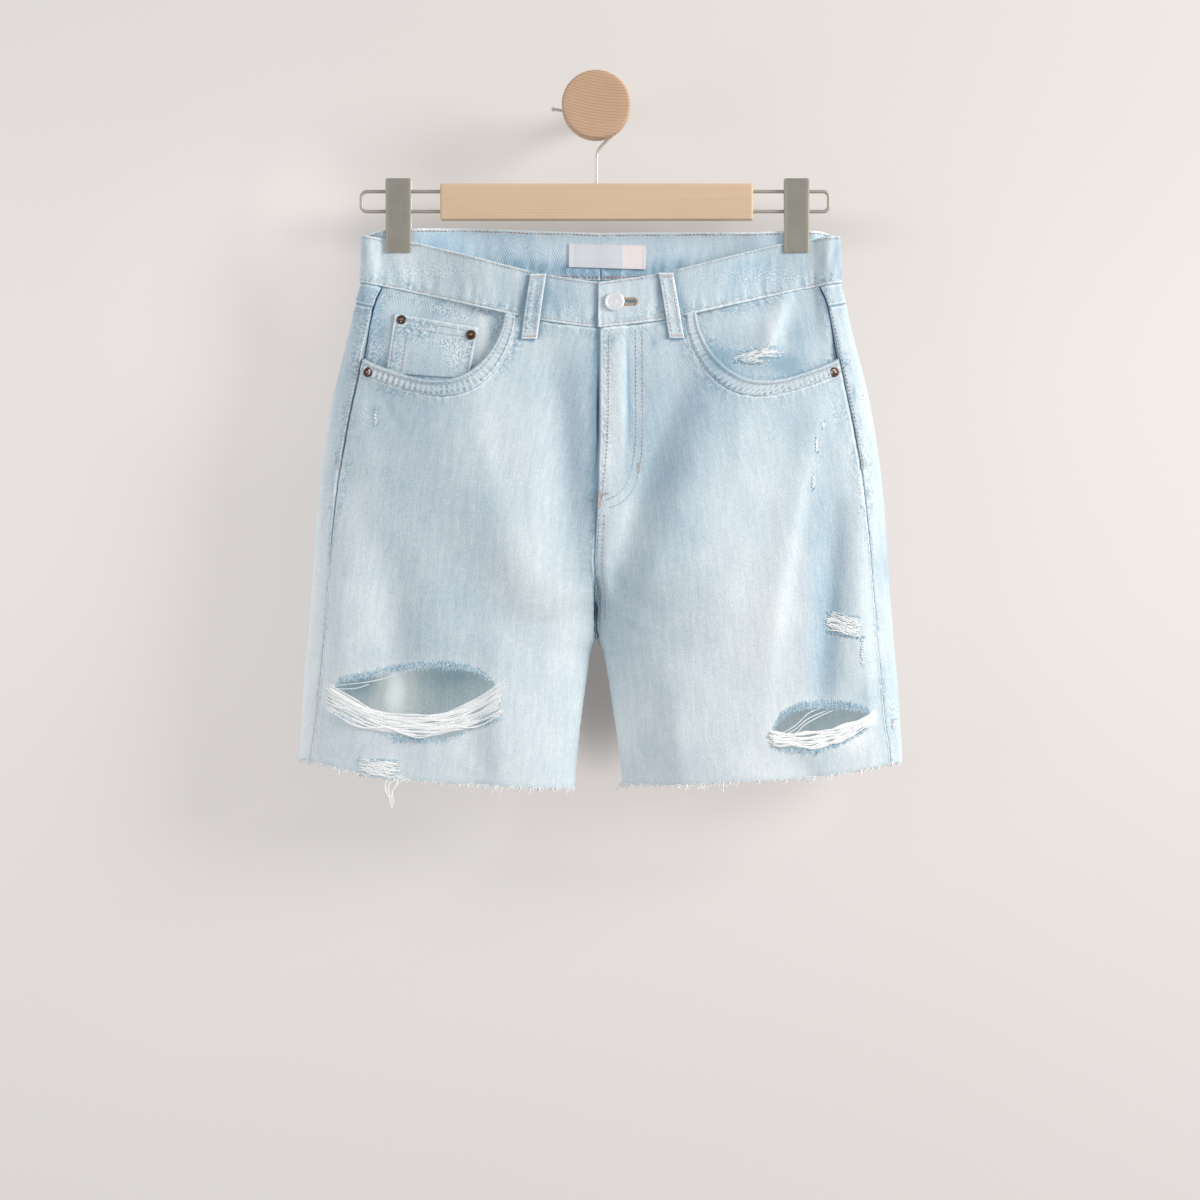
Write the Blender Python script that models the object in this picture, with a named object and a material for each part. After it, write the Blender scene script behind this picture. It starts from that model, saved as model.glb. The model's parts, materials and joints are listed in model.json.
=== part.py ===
"""Light denim shorts with raw, ripped hems, hanging by the waistband from a two-clip hanger on a wooden wall peg.

World axes: +Z is up, the wall is the plane y = 0 and the shorts hang in front of it, facing -Y. The origin is
the middle of the peg's back face. Right and left are the wearer's, so right is at -X.
Sizes here are in millimetres, and each mesh is scaled to metres as it is made. Heights are given as drops, the
distance below the peg's axis. `across` is the distance from the shorts' centre line towards one side.
"""

import math

import bmesh
import bpy
import numpy as np
from mathutils import Vector

MM = 0.001
RIGHT, LEFT = -1, 1

# ---------------------------------------------------------------- driving sizes
HANG_Y = -60.0  # plane of the hanger in front of the wall
SHORTS_X = 4.0  # centre line of the shorts
HANGER_X = 1.3  # centre line of the hanger
GAP = 0.3  # between pieces that meet
SEAM = GAP / 2  # by which an edge at a seam is pulled in
WAIST_SEAM = 0.6  # the same where pieces meet the waistband

CLOTH = 1.3  # one layer of denim
FACING = 1.0  # thinner patches: facings, coin pocket, pocket hems
BAND = 2.4  # folded waistband
BAND_PROUD = 0.9  # how far the waistband stands out from the panels below it
LOOP = 1.8  # belt loop
CROTCH_DROP = 467.0
FLY_END_DROP = 350.0

PEG_RADIUS, DISC_RADIUS = 9.0, 30.0
DISC_BACK_Y, DISC_FRONT_Y = -72.0, -92.0
BAR_WIDTH, BAR_TOP_DROP, BAR_LOW_DROP, BAR_THICK = 275.0, 66.0, 98.0, 12.0
WIRE_RADIUS, WIRE_TOP_DROP, WIRE_LOW_DROP, WIRE_END = 1.6, 72.6, 90.2, 206.0
CLIP_RIGHT_X, CLIP_LEFT_X = -173.8, 176.2
CLIP_WIDTH, CLIP_TOP_DROP, CLIP_LOW_DROP, CLIP_SHEET = 22.5, 61.6, 126.8, 1.2
CLIP_CLEAR = 3.0  # the cloth lies flat this far beside the clip

# Segments along the walls: panels across and down, waistband halves round, small patches.
PANEL_ACROSS, PANEL_ABOVE, PANEL_BELOW = 16, 12, 6
BAND_ROUND, BAND_DOWN = 36, 2

COLOURS = {
    "denim": ((0.62, 0.74, 0.82), 0.9, 0.0),
    "raw_yarn": ((0.90, 0.90, 0.87), 0.95, 0.0),
    "label_cloth": ((0.93, 0.92, 0.93), 0.8, 0.0),
    "copper": ((0.40, 0.24, 0.18), 0.4, 1.0),
    "silver": ((0.85, 0.85, 0.85), 0.3, 1.0),
    "nickel": ((0.55, 0.55, 0.52), 0.35, 1.0),
    "beech": ((0.80, 0.64, 0.46), 0.6, 0.0),
}


def table(names, *rows):
    """A table as columns: {name: array}, one value for each row."""
    return dict(zip(names, np.array(rows, float).T, strict=True))


# One row for each height: half width to the side outline, inner side of the leg (negative where both legs are
# one trunk), depth in front of and behind the hanger's plane, roundness of the section's ends (1 is an ellipse,
# less is blunter), and how far the side seam lies in from the outline.
BODY = table(
    ("drop", "outer", "inner", "front", "back", "blunt", "seam"),
    (105, 210.0, -210.0, 15.0, 15.0, 0.60, 21.0),
    (153, 211.5, -211.5, 19.0, 20.0, 0.62, 20.5),
    (168, 215.2, -215.2, 21.0, 22.5, 0.64, 18.0),
    (186, 218.8, -218.8, 23.5, 26.0, 0.66, 17.0),
    (221, 227.5, -227.5, 28.0, 32.0, 0.70, 18.0),
    (256, 236.1, -236.1, 32.0, 37.0, 0.74, 19.0),
    (291, 242.4, -238.0, 35.0, 41.0, 0.77, 18.5),
    (326, 247.2, -222.0, 37.0, 43.0, 0.80, 17.5),
    (360, 250.0, -178.0, 38.5, 44.0, 0.82, 16.5),
    (397, 252.5, -112.0, 39.5, 44.5, 0.83, 15.5),
    (432, 254.7, -50.0, 40.0, 44.0, 0.84, 15.0),
    (CROTCH_DROP, 257.5, 0.4, 40.0, 43.5, 0.85, 15.5),
    (478, 259.0, 5.2, 39.8, 43.3, 0.85, 15.5),
    (489, 260.0, 7.3, 39.5, 43.0, 0.85, 15.5),
    (511, 261.6, 11.0, 39.0, 42.5, 0.85, 15.0),
    (538, 263.2, 14.7, 38.5, 42.0, 0.85, 14.0),
    (564, 264.8, 17.9, 38.0, 41.5, 0.85, 11.5),
    (600, 266.0, 21.4, 37.5, 41.0, 0.85, 10.0),
)

# The waistband's edges, by distance from the centre line: drops of its top and lower edge, in front and behind.
WAIST = table(
    ("across", "front_top", "front_low", "back_top", "back_low"),
    (0, 154.0, 194.5, 108.6, 149.0),
    (44, 147.7, 189.2, 108.2, 148.6),
    (88, 137.3, 180.0, 107.0, 148.0),
    (132, 125.4, 169.6, 106.6, 147.6),
    (161, 118.2, 163.0, 106.4, 147.8),
    (189, 114.2, 157.2, 106.6, 149.4),
    (211.5, 111.6, 153.2, 111.6, 153.2),
)

# Drop of the cut hem, by distance from the centre line, for the right and the left leg.
HEM = table(
    ("across", "right", "left"),
    (21, 596.6, 593.1),
    (53, 595.4, 593.5),
    (88, 593.8, 592.2),
    (123, 591.6, 589.6),
    (158, 589.0, 588.2),
    (194, 585.6, 585.2),
    (220, 580.6, 581.2),
    (246, 574.6, 576.4),
    (267, 570.2, 572.4),
)

# Pocket opening in front, as radii about the corner where side seam and waistband meet. The angle starts
# level, towards the centre line, and turns downwards.
POCKET_CORNER_ACROSS, POCKET_CORNER_DROP = 193.0, 158.4
POCKET = table(
    ("angle", "radius", "hem_width"),
    (6, 111.0, 8.0),
    (21, 113.0, 10.8),
    (31, 112.5, 12.4),
    (40, 110.3, 14.3),
    (51, 104.2, 15.6),
    (58, 97.5, 15.9),
    (67, 88.0, 15.0),
    (75, 80.0, 13.8),
    (84, 73.0, 13.0),
    (94, 68.0, 12.5),
    (104, 64.5, 12.2),
    (112, 63.0, 12.0),
)

# Rips cut through the front of each leg, as an upper and a lower edge.
RIP_RIGHT = table(
    ("across", "upper", "lower"),
    (84.5, 516.0, 524.0),
    (90, 503.4, 535.0),
    (110, 494.6, 545.6),
    (141, 490.2, 553.5),
    (176, 493.7, 549.1),
    (202, 499.0, 540.3),
    (224, 502.5, 532.4),
    (234, 512.0, 521.0),
)
RIP_LEFT = table(
    ("across", "upper", "lower"),
    (150, 545.0, 556.2),
    (158, 533.3, 560.6),
    (176, 525.8, 561.9),
    (202, 525.4, 557.9),
    (224, 527.1, 547.4),
    (235, 530.8, 537.0),
)

# White weft yarns left across each rip: where the bundle starts, hangs lowest and ends, as across and the
# drops of its upper and lower yarn.
YARNS_RIGHT = table(
    ("across", "upper", "lower"),
    (237.5, 507.0, 531.0),
    (159.0, 536.5, 550.5),
    (81.5, 508.0, 532.0),
)
YARNS_LEFT = table(
    ("across", "upper", "lower"),
    (238.5, 530.5, 537.0),
    (194.0, 546.5, 557.0),
    (146.5, 546.5, 556.5),
)

# Soft folds, as the across and drop of their upper end, middle and lower end, with half width and height.
# A negative height is a trough.
FOLD_COLUMNS = ("side", "a_up", "d_up", "a_mid", "d_mid", "a_low", "d_low", "width", "height")
FRONT_FOLDS = table(
    FOLD_COLUMNS,
    (RIGHT, 53, 215, 61, 326, 24, 452, 17, 4.5),
    (RIGHT, 20, 215, 28, 344, 11, 440, 13, -4.0),
    (RIGHT, 158, 270, 150, 370, 141, 500, 42, -3.5),
    (RIGHT, 182, 390, 186, 450, 190, 530, 18, 3.0),
    (RIGHT, 62, 480, 57, 545, 53, 640, 20, 3.5),
    (RIGHT, 108, 500, 104, 560, 100, 640, 16, -3.0),
    (LEFT, 80, 225, 53, 335, 22, 462, 22, -5.0),
    (LEFT, 110, 240, 101, 320, 88, 440, 24, 2.5),
    (LEFT, 178, 330, 172, 432, 156, 545, 14, 5.0),
    (LEFT, 209, 310, 209, 414, 203, 540, 15, -5.0),
    (LEFT, 134, 490, 131, 555, 126, 640, 15, -3.5),
)
BACK_FOLDS = table(
    FOLD_COLUMNS,
    (RIGHT, 40, 330, 60, 400, 110, 520, 20, -4.0),
    (RIGHT, 150, 400, 160, 480, 165, 640, 22, 4.0),
    (RIGHT, 80, 480, 84, 550, 86, 640, 16, 3.0),
    (LEFT, 46, 320, 70, 400, 130, 530, 22, -4.5),
    (LEFT, 178, 380, 170, 470, 160, 640, 20, 4.0),
    (LEFT, 96, 470, 92, 550, 90, 640, 18, -3.0),
)


# ---------------------------------------------------------------- curves
def smooth(knots, values, at):
    """Monotone cubic through the knots, which never overshoots them, and level beyond both ends."""
    gaps = np.diff(knots)
    slopes = np.diff(values) / gaps
    before, after = slopes[:-1], slopes[1:]
    same = before * after > 0
    tangents = np.concatenate([slopes[:1], np.zeros(len(values) - 2), slopes[-1:]])
    tangents[1:-1][same] = 2 * before[same] * after[same] / (before[same] + after[same])
    at = np.clip(at, knots[0], knots[-1])
    i = np.clip(np.searchsorted(knots, at, side="right") - 1, 0, len(gaps) - 1)
    t = (at - knots[i]) / gaps[i]
    start = values[i] * (1 + 2 * t) + gaps[i] * tangents[i] * t
    end = values[i + 1] * (3 - 2 * t) - gaps[i] * tangents[i + 1] * (1 - t)
    return start * (1 - t) ** 2 + end * t**2


def ease(low, high, at):
    """0 below low, 1 above high, and a smooth step between."""
    t = np.clip((at - low) / (high - low), 0, 1)
    return t * t * (3 - 2 * t)


def body_at(column, drop):
    return smooth(BODY["drop"], BODY[column], drop)


def waist_at(column, across):
    return smooth(WAIST["across"], WAIST[column], np.abs(across))


def hem_at(side, across):
    return smooth(HEM["across"], HEM["right" if side == RIGHT else "left"], across)


# ---------------------------------------------------------------- the shorts' surface
def leg_tube(drop):
    """Centre and half width of one leg's tube. Above the crotch it reaches past the centre line."""
    outer, inner = body_at("outer", drop), body_at("inner", drop)
    return (outer + inner) / 2, (outer - inner) / 2


def pinched(x, drop):
    """1 where a clip presses front and back together, fading to 0 round it."""
    held = 0.0
    for clip_x in (CLIP_RIGHT_X, CLIP_LEFT_X):
        outwards = np.abs(x) > abs(clip_x)
        reach = np.where(outwards, 15.0, 62.0)
        held = held + 1 - ease(0, 1, (np.abs(x - clip_x) - CLIP_WIDTH / 2 - CLIP_CLEAR) / reach)
    return held * (1 - ease(CLIP_LOW_DROP + 2, CLIP_LOW_DROP + 95, drop))


def fold_height(folds, side, across, drop):
    """Sum of the folds at a place: each is a bell across its own curved middle line, fading at both ends."""
    total = np.zeros(np.broadcast(across, drop).shape)
    for row in zip(*folds.values(), strict=True):
        fold_side, a_up, d_up, a_mid, d_mid, a_low, d_low, width, height = row
        if fold_side != side:
            continue
        middle = np.interp(drop, (d_up, d_low), (a_up, a_low))
        bow = a_mid - np.interp(d_mid, (d_up, d_low), (a_up, a_low))
        along = np.clip((drop - d_up) / (d_low - d_up), 0, 1)
        middle = middle + bow * 4 * along * (1 - along)
        total = total + height * np.exp(-(((across - middle) / width) ** 2)) * np.sin(math.pi * along) ** 0.8
    return total


def body(side, turn, drop):
    """Point of the shorts' outer surface. turn goes round the leg: 0 at its inner side, a quarter turn in
    front, half a turn at the outer side, three quarters behind."""
    centre, half = leg_tube(drop)
    across = centre - half * np.cos(turn)
    x = SHORTS_X + side * across
    in_front = np.sin(turn) >= 0
    swell = np.abs(np.sin(turn))
    depth = np.where(in_front, body_at("front", drop), body_at("back", drop))
    depth = depth * swell ** body_at("blunt", drop)
    held = pinched(x, drop)
    depth = depth * (1 - held) + held * (BAND + GAP / 2 - BAND_PROUD)
    folds = np.where(
        in_front, fold_height(FRONT_FOLDS, side, across, drop), fold_height(BACK_FOLDS, side, across, drop)
    )
    depth = depth + folds * np.minimum(1, 1.6 * swell)
    return np.stack([x, HANG_Y - np.where(in_front, 1, -1) * depth, -drop + 0 * x], axis=-1)


def shell(side, turn, drop, lift=0.0):
    """The outer surface moved out along its normal by lift."""
    turn, drop, lift = np.broadcast_arrays(turn, drop, lift)
    round_it = body(side, turn + 1e-3, drop) - body(side, turn - 1e-3, drop)
    down = body(side, turn, drop + 0.5) - body(side, turn, drop - 0.5)
    normal = -side * np.cross(round_it, down)
    normal /= np.linalg.norm(normal, axis=-1, keepdims=True)
    return body(side, turn, drop) + normal * lift[..., None]


def front_turn(across, drop):
    """The turn of a point in front that lies at this distance from the centre line."""
    centre, half = leg_tube(drop)
    return np.arccos(np.clip((centre - across) / half, -1, 1))


def back_turn(across, drop):
    return 2 * math.pi - front_turn(across, drop)


def seam_turn(drop):
    """The turn of the side seam, which lies in front, a little in from the outline."""
    return front_turn(body_at("outer", drop) - body_at("seam", drop), drop)


def settle_drop(edge, turn_of, start):
    """Drop at which a line of constant share of the turn meets an edge given by distance across."""
    drop = start
    for _ in range(6):
        centre, half = leg_tube(drop)
        drop = edge(centre - half * np.cos(turn_of(drop)))
    return drop


# ---------------------------------------------------------------- meshes
def material(name):
    colour, roughness, metallic = COLOURS[name]
    made = bpy.data.materials.get(name) or bpy.data.materials.new(name)
    made.use_nodes = True
    shader = made.node_tree.nodes["Principled BSDF"]
    shader.inputs["Base Color"].default_value = (*colour, 1.0)
    shader.inputs["Roughness"].default_value = roughness
    shader.inputs["Metallic"].default_value = metallic
    made.diffuse_color = (*colour, 1.0)
    return made


def solid(name, points, faces, finish, smooth_angle=math.radians(40)):
    """A closed mesh object from points in millimetres, with its faces turned outwards."""
    mesh = bpy.data.meshes.new(name)
    mesh.from_pydata((np.asarray(points, float) * MM).tolist(), [], [tuple(map(int, f)) for f in faces])
    work = bmesh.new()
    work.from_mesh(mesh)
    bmesh.ops.recalc_face_normals(work, faces=work.faces)
    if work.calc_volume(signed=True) < 0:
        bmesh.ops.reverse_faces(work, faces=work.faces)
    work.to_mesh(mesh)
    work.free()
    mesh.materials.append(material(finish))
    mesh.shade_smooth()
    mesh.set_sharp_from_angle(angle=smooth_angle)
    made = bpy.data.objects.new(name, mesh)
    bpy.context.scene.collection.objects.link(made)
    return made


def helper(made):
    """Marks an object as a cutter or a guide, which isn't part of the shorts."""
    made.hide_render = True
    made.display_type = "WIRE"
    return made


def combine(target, other, operation):
    modifier = target.modifiers.new(other.name, "BOOLEAN")
    modifier.operation = operation
    modifier.object = helper(other)
    modifier.solver = "EXACT"


def trim(points, edges):
    """Pulls the named edges of a grid of points in by their own amounts."""
    trimmed = points.copy()
    for edge, amount in edges.items():
        grid = trimmed if edge.endswith("row") else trimmed.swapaxes(0, 1)
        rim, next_in = (0, 1) if edge.startswith("first") else (-1, -2)
        step = grid[next_in] - grid[rim]
        grid[rim] += step / np.linalg.norm(step, axis=-1, keepdims=True) * amount
    return trimmed


def wall(name, outer, inner, finish):
    """Closes two matching grids of points, rows by columns, into one wall."""
    rows, columns = outer.shape[:2]
    index = np.arange(rows * columns).reshape(rows, columns)
    under = index + rows * columns
    faces = []
    for r in range(rows - 1):
        for c in range(columns - 1):
            for a, b, d in ((0, 1, 3), (0, 3, 2)):
                corner = [(r, c), (r, c + 1), (r + 1, c), (r + 1, c + 1)]
                faces.append((index[corner[a]], index[corner[b]], index[corner[d]]))
                faces.append((under[corner[a]], under[corner[d]], under[corner[b]]))
    rim = [*index[0], *index[1:, -1], *index[-1, -2::-1], *index[-2:0:-1, 0]]
    for a, b in zip(rim, rim[1:] + rim[:1], strict=True):
        faces.append((a, a + rows * columns, b + rows * columns, b))
    return solid(name, np.concatenate([outer.reshape(-1, 3), inner.reshape(-1, 3)]), faces, finish)


def patch(name, side, turn, drop, lift, thick, finish, edges={}):
    """A wall of cloth on the shorts' surface: its outer face lies lift out from it."""
    outer = trim(shell(side, turn, drop, lift), edges)
    inner = trim(shell(side, turn, drop, lift - thick), edges)
    return wall(name, outer, inner, finish)


def turned(name, profile, finish, steps=32):
    """A solid of revolution about the Y axis, from (radius, y) pairs that start and end on the axis."""
    angles = np.arange(steps) * 2 * math.pi / steps
    points = [(0.0, profile[0][1], 0.0)]
    for radius, y in profile[1:-1]:
        points += [(radius * math.cos(angle), y, radius * math.sin(angle)) for angle in angles]
    points.append((0.0, profile[-1][1], 0.0))
    last = len(points) - 1
    faces = []
    for k in range(steps):
        after = (k + 1) % steps
        faces.append((0, 1 + k, 1 + after))
        for ring in range(len(profile) - 3):
            low, high = 1 + ring * steps, 1 + (ring + 1) * steps
            faces.append((low + k, high + k, high + after, low + after))
        faces.append((last, last - steps + after, last - steps + k))
    return solid(name, points, faces, finish)


def prism(name, outline, front_y, back_y, finish="denim"):
    """A prism along Y with the outline (x, z)."""
    count = len(outline)
    points = [(x, y, z) for y in (front_y, back_y) for x, z in outline]
    faces = [tuple(range(count)), tuple(range(2 * count - 1, count - 1, -1))]
    faces += [(k, (k + 1) % count, count + (k + 1) % count, count + k) for k in range(count)]
    return solid(name, points, faces, finish)


def rod(name, path, radius, finish, sides=8):
    """A wire or yarn with flat ends along a path that runs roughly in front view."""
    path = np.asarray(path, float)
    forward = np.gradient(path, axis=0)
    forward /= np.linalg.norm(forward, axis=1, keepdims=True)
    out = np.array([0.0, -1.0, 0.0])
    beside = np.cross(forward, out)
    beside /= np.linalg.norm(beside, axis=1, keepdims=True)
    angles = np.arange(sides) * 2 * math.pi / sides
    rings = [path + radius * (math.cos(a) * out + math.sin(a) * beside) for a in angles]
    points = np.stack(rings, axis=1).reshape(-1, 3)
    faces = [tuple(range(sides)), tuple(range(len(points) - 1, len(points) - 1 - sides, -1))]
    for r in range(len(path) - 1):
        for k in range(sides):
            a, b = sides * r + k, sides * r + (k + 1) % sides
            faces.append((a, b, b + sides, a + sides))
    return solid(name, points, faces, finish)


# ---------------------------------------------------------------- front and back panels
def panel_drops(side, turn_of, top_edge, shares):
    """Drops of a panel's rows: from its top edge to the crotch, closer together near it, then to the hem."""
    top = settle_drop(top_edge, lambda d: turn_of(d, shares), np.full(shares.shape, 175.0))
    hem = settle_drop(lambda a: hem_at(side, a), lambda d: turn_of(d, shares), np.full(shares.shape, 585.0))
    above = 1 - (1 - np.linspace(0, 1, PANEL_ABOVE + 1)) ** 1.35
    below = np.linspace(0, 1, PANEL_BELOW + 1)[1:] ** 1.2
    upper = top + (CROTCH_DROP - top) * above[:, None]
    lower = CROTCH_DROP + (hem - CROTCH_DROP) * below[:, None]
    return np.concatenate([upper, lower])


def fly_share(drop):
    """1 along the fly, where the left front laps over the right one, and 0 below it."""
    return 1 - ease(FLY_END_DROP - 36, FLY_END_DROP - 6, drop)


FLY_LAP = {RIGHT: 8.0, LEFT: 1.8}  # how far each front reaches past the centre line along the fly


def front_panel(side):
    """One front, from the centre seam and inseam to the side seam."""

    def turn_of(drop, share):
        inner = front_turn(-FLY_LAP[side] * fly_share(drop), drop)
        return inner + share * (seam_turn(drop) - inner)

    shares = np.linspace(0, 1, PANEL_ACROSS + 1)
    drop = panel_drops(side, turn_of, lambda a: waist_at("front_low", a), shares)
    turn = turn_of(drop, shares)
    centre, half = leg_tube(drop)
    across = centre - half * np.cos(turn)
    lift = fly_lift(across, drop) if side == LEFT else np.zeros(drop.shape)
    name = "front_right" if side == RIGHT else "front_left"
    lapped = 0.6 if side == RIGHT else 0.0  # the right front ends lower, under the left end of the band
    edges = {"first_row": WAIST_SEAM + lapped, "first_column": SEAM, "last_column": SEAM}
    made = patch(name, side, turn, drop, lift, CLOTH, "denim", edges)
    combine(made, pocket_cutter(side), "DIFFERENCE")
    combine(made, rip_cutter(side), "DIFFERENCE")
    return made


def fly_lift(across, drop):
    """The left front rises over the right one along the fly."""
    beside = 1 - ease(12, 30, across)
    return (CLOTH + 2 * GAP) * beside * (1 - ease(FLY_END_DROP + 4, FLY_END_DROP + 40, drop))


def place(side, across):
    return SHORTS_X + side * across


def pocket_edge(extra=0.0, hem_share=0.0, count=18):
    """Points (across, drop) along the pocket opening, moved out from its corner by extra and a share of the
    hem's width."""
    angle = np.linspace(POCKET["angle"][0], POCKET["angle"][-1], count)
    radius = smooth(POCKET["angle"], POCKET["radius"], angle) + extra
    radius = radius + hem_share * smooth(POCKET["angle"], POCKET["hem_width"], angle)
    radians = np.radians(angle)
    return POCKET_CORNER_ACROSS - radius * np.cos(radians), POCKET_CORNER_DROP + radius * np.sin(radians)


def pocket_cutter(side):
    across, drop = pocket_edge()
    far_out, far_up = 260.0, 120.0
    outline = [*zip(across, drop, strict=True), (far_out, drop[-1]), (far_out, far_up), (across[0], far_up)]
    outline = [(place(side, a), -d) for a, d in outline]
    return prism(f"cut_pocket_{side}", outline, HANG_Y - 60, HANG_Y)


def rip_cutter(side):
    rip = RIP_RIGHT if side == RIGHT else RIP_LEFT
    across = np.linspace(rip["across"][0], rip["across"][-1], 15)
    upper = [*zip(across, smooth(rip["across"], rip["upper"], across), strict=True)]
    lower = [*zip(across, smooth(rip["across"], rip["lower"], across), strict=True)]
    outline = [(place(side, a), -d) for a, d in upper + lower[::-1]]
    return prism(f"cut_rip_{side}", outline, HANG_Y - 60, HANG_Y)


def yoke_edge(turn):
    """Drop of the yoke seam, which rises from the side seam to the outline and falls to the centre back."""
    behind = ease(math.pi, 1.5 * math.pi, turn)
    return 171.0 + 4.0 * ease(0, 0.5, math.pi - turn) + 34.0 * behind


def back_turn_of(drop, share):
    """Share 0 at the side seam and 1 at the centre back seam or inseam."""
    start = seam_turn(drop)
    return start + share * (back_turn(0.0, drop) - start)


def back_panel(side):
    """One back, from the side seam, round the outer side, to the centre back seam and inseam."""
    shares = np.linspace(0, 1, PANEL_ACROSS + 2)
    top = np.full(shares.shape, 180.0)
    for _ in range(6):
        top = yoke_edge(back_turn_of(top, shares))
    hem = settle_drop(lambda a: hem_at(side, a), lambda d: back_turn_of(d, shares), np.full(shares.shape, 585.0))
    above = 1 - (1 - np.linspace(0, 1, PANEL_ABOVE + 1)) ** 1.35
    below = np.linspace(0, 1, PANEL_BELOW + 1)[1:] ** 1.2
    upper = top + (CROTCH_DROP - top) * above[:, None]
    lower = CROTCH_DROP + (hem - CROTCH_DROP) * below[:, None]
    drop = np.concatenate([upper, lower])
    name = "back_right" if side == RIGHT else "back_left"
    edges = {"first_row": SEAM, "first_column": SEAM, "last_column": SEAM}
    return patch(name, side, back_turn_of(drop, shares), drop, 0.0, CLOTH, "denim", edges)


def yoke(side):
    """The shaped piece between waistband and back panel."""
    shares = np.linspace(0, 1, PANEL_ACROSS + 2)
    low = np.full(shares.shape, 180.0)
    for _ in range(6):
        low = yoke_edge(back_turn_of(low, shares))
    top = np.full(shares.shape, 152.0)
    for _ in range(6):
        turn = back_turn_of(top, shares)
        centre, half = leg_tube(top)
        across = centre - half * np.cos(turn)
        top = np.where(turn < math.pi, waist_at("front_low", across), waist_at("back_low", across))
    drop = top + (low - top) * np.linspace(0, 1, 4)[:, None]
    edges = {"first_row": WAIST_SEAM, "last_row": SEAM, "first_column": SEAM, "last_column": SEAM}
    name = "yoke_right" if side == RIGHT else "yoke_left"
    return patch(name, side, back_turn_of(drop, shares), drop, 0.0, CLOTH, "denim", edges)


# ---------------------------------------------------------------- waistband
BAND_LAP = {RIGHT: 30.0, LEFT: 2.3}  # how far each end reaches past the centre line in front


def band_lift(side, across, in_front):
    """The left end lies over the right one, so it rises and the right one sinks."""
    over = 1.0 * (1 - ease(32, 62, across)) if side == LEFT else -2.0 * (1 - ease(4, 30, across))
    return BAND_PROUD + np.where(in_front, over, 0.0)


def waistband(side):
    """Half of the folded band, from its front end round the side to the centre back."""
    start = math.acos(BAND_LAP[side] / 211.0)
    turn = np.linspace(start, 1.5 * math.pi, BAND_ROUND + 1)
    clip = abs((CLIP_RIGHT_X if side == RIGHT else CLIP_LEFT_X) - SHORTS_X)
    edges_of_clip = np.arccos(-(clip + np.array([-1, 1]) * (CLIP_WIDTH / 2 + CLIP_CLEAR)) / 211.0)
    turn = np.sort(np.concatenate([turn, edges_of_clip, 2 * math.pi - edges_of_clip]))
    across = -211.0 * np.cos(turn)
    in_front = turn <= math.pi
    top = np.where(in_front, waist_at("front_top", across), waist_at("back_top", across))
    low = np.where(in_front, waist_at("front_low", across), waist_at("back_low", across))
    drop = top + (low - top) * np.linspace(0, 1, BAND_DOWN + 1)[:, None]
    lift = band_lift(side, across, in_front)
    edges = {"last_row": SEAM, "last_column": SEAM}
    name = "waistband_right" if side == RIGHT else "waistband_left"
    made = patch(name, side, turn + 0 * drop, drop, lift + 0 * drop, BAND, "denim", edges)
    if side == LEFT:
        combine(made, buttonhole_cutter(), "DIFFERENCE")
    return made


BUTTON_ACROSS, BUTTON_DROP, BUTTON_RADIUS, SHANK_RADIUS = 12.3, 171.6, 8.4, 1.5
BUTTONHOLE_END = 31.0  # across


def buttonhole_cutter():
    """A slot with round ends, level, from the button towards the left."""
    reach = SHANK_RADIUS + 3 * GAP
    outline = []
    for centre, start in ((BUTTONHOLE_END - reach, -90), (BUTTON_ACROSS, 90)):
        for angle in np.radians(np.linspace(start, start + 180, 7)):
            across = centre + reach * math.cos(angle)
            outline.append((place(LEFT, across), -BUTTON_DROP + reach * math.sin(angle)))
    return prism("cut_buttonhole", outline, HANG_Y - 40, HANG_Y - 10)


def front_point(side, across, drop, lift):
    across, drop = np.broadcast_arrays(np.asarray(across, float), np.asarray(drop, float))
    return shell(side, front_turn(across, drop), drop, lift)


def stand_on(made, side, across, drop, lift):
    """Stands a solid of revolution on the surface, with its own -Y axis pointing outwards."""
    seat, above = (front_point(side, across, drop, lift + up) for up in (0.0, 1.0))
    made.rotation_mode = "QUATERNION"
    made.rotation_quaternion = Vector(seat - above).to_track_quat("Y", "Z")
    made.location = Vector(seat * MM)
    return made


def waist_button():
    """Domed head on a shank that passes through the buttonhole to the right end of the band."""
    lift = BAND_PROUD + 1.0
    head_back, foot = -0.6, BAND + GAP
    profile = [
        (0, foot),
        (SHANK_RADIUS, foot),
        (SHANK_RADIUS, head_back),
        (BUTTON_RADIUS - 0.8, head_back),
        (BUTTON_RADIUS, head_back - 0.8),
        (BUTTON_RADIUS - 0.3, head_back - 1.8),
        (BUTTON_RADIUS - 1.6, head_back - 2.2),
        (BUTTON_RADIUS - 3.0, head_back - 1.9),
        (0, head_back - 1.9),
    ]
    made = turned("waist_button", profile, "silver", 24)
    return stand_on(made, LEFT, BUTTON_ACROSS, BUTTON_DROP, lift)


# ---------------------------------------------------------------- pockets in front
def pocket_recess(across, drop):
    """How far the pocket facing lies behind the front: level with it in the corner, deeper at the opening."""
    inward, down = POCKET_CORNER_ACROSS - across, drop - POCKET_CORNER_DROP
    angle = np.degrees(np.arctan2(down, inward))
    share = np.hypot(inward, down) / smooth(POCKET["angle"], POCKET["radius"], angle)
    under_front = CLOTH + 0.6 + FACING + 0.5
    return 0.4 + (under_front - 0.4) * ease(0.35, 0.85, share)


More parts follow.
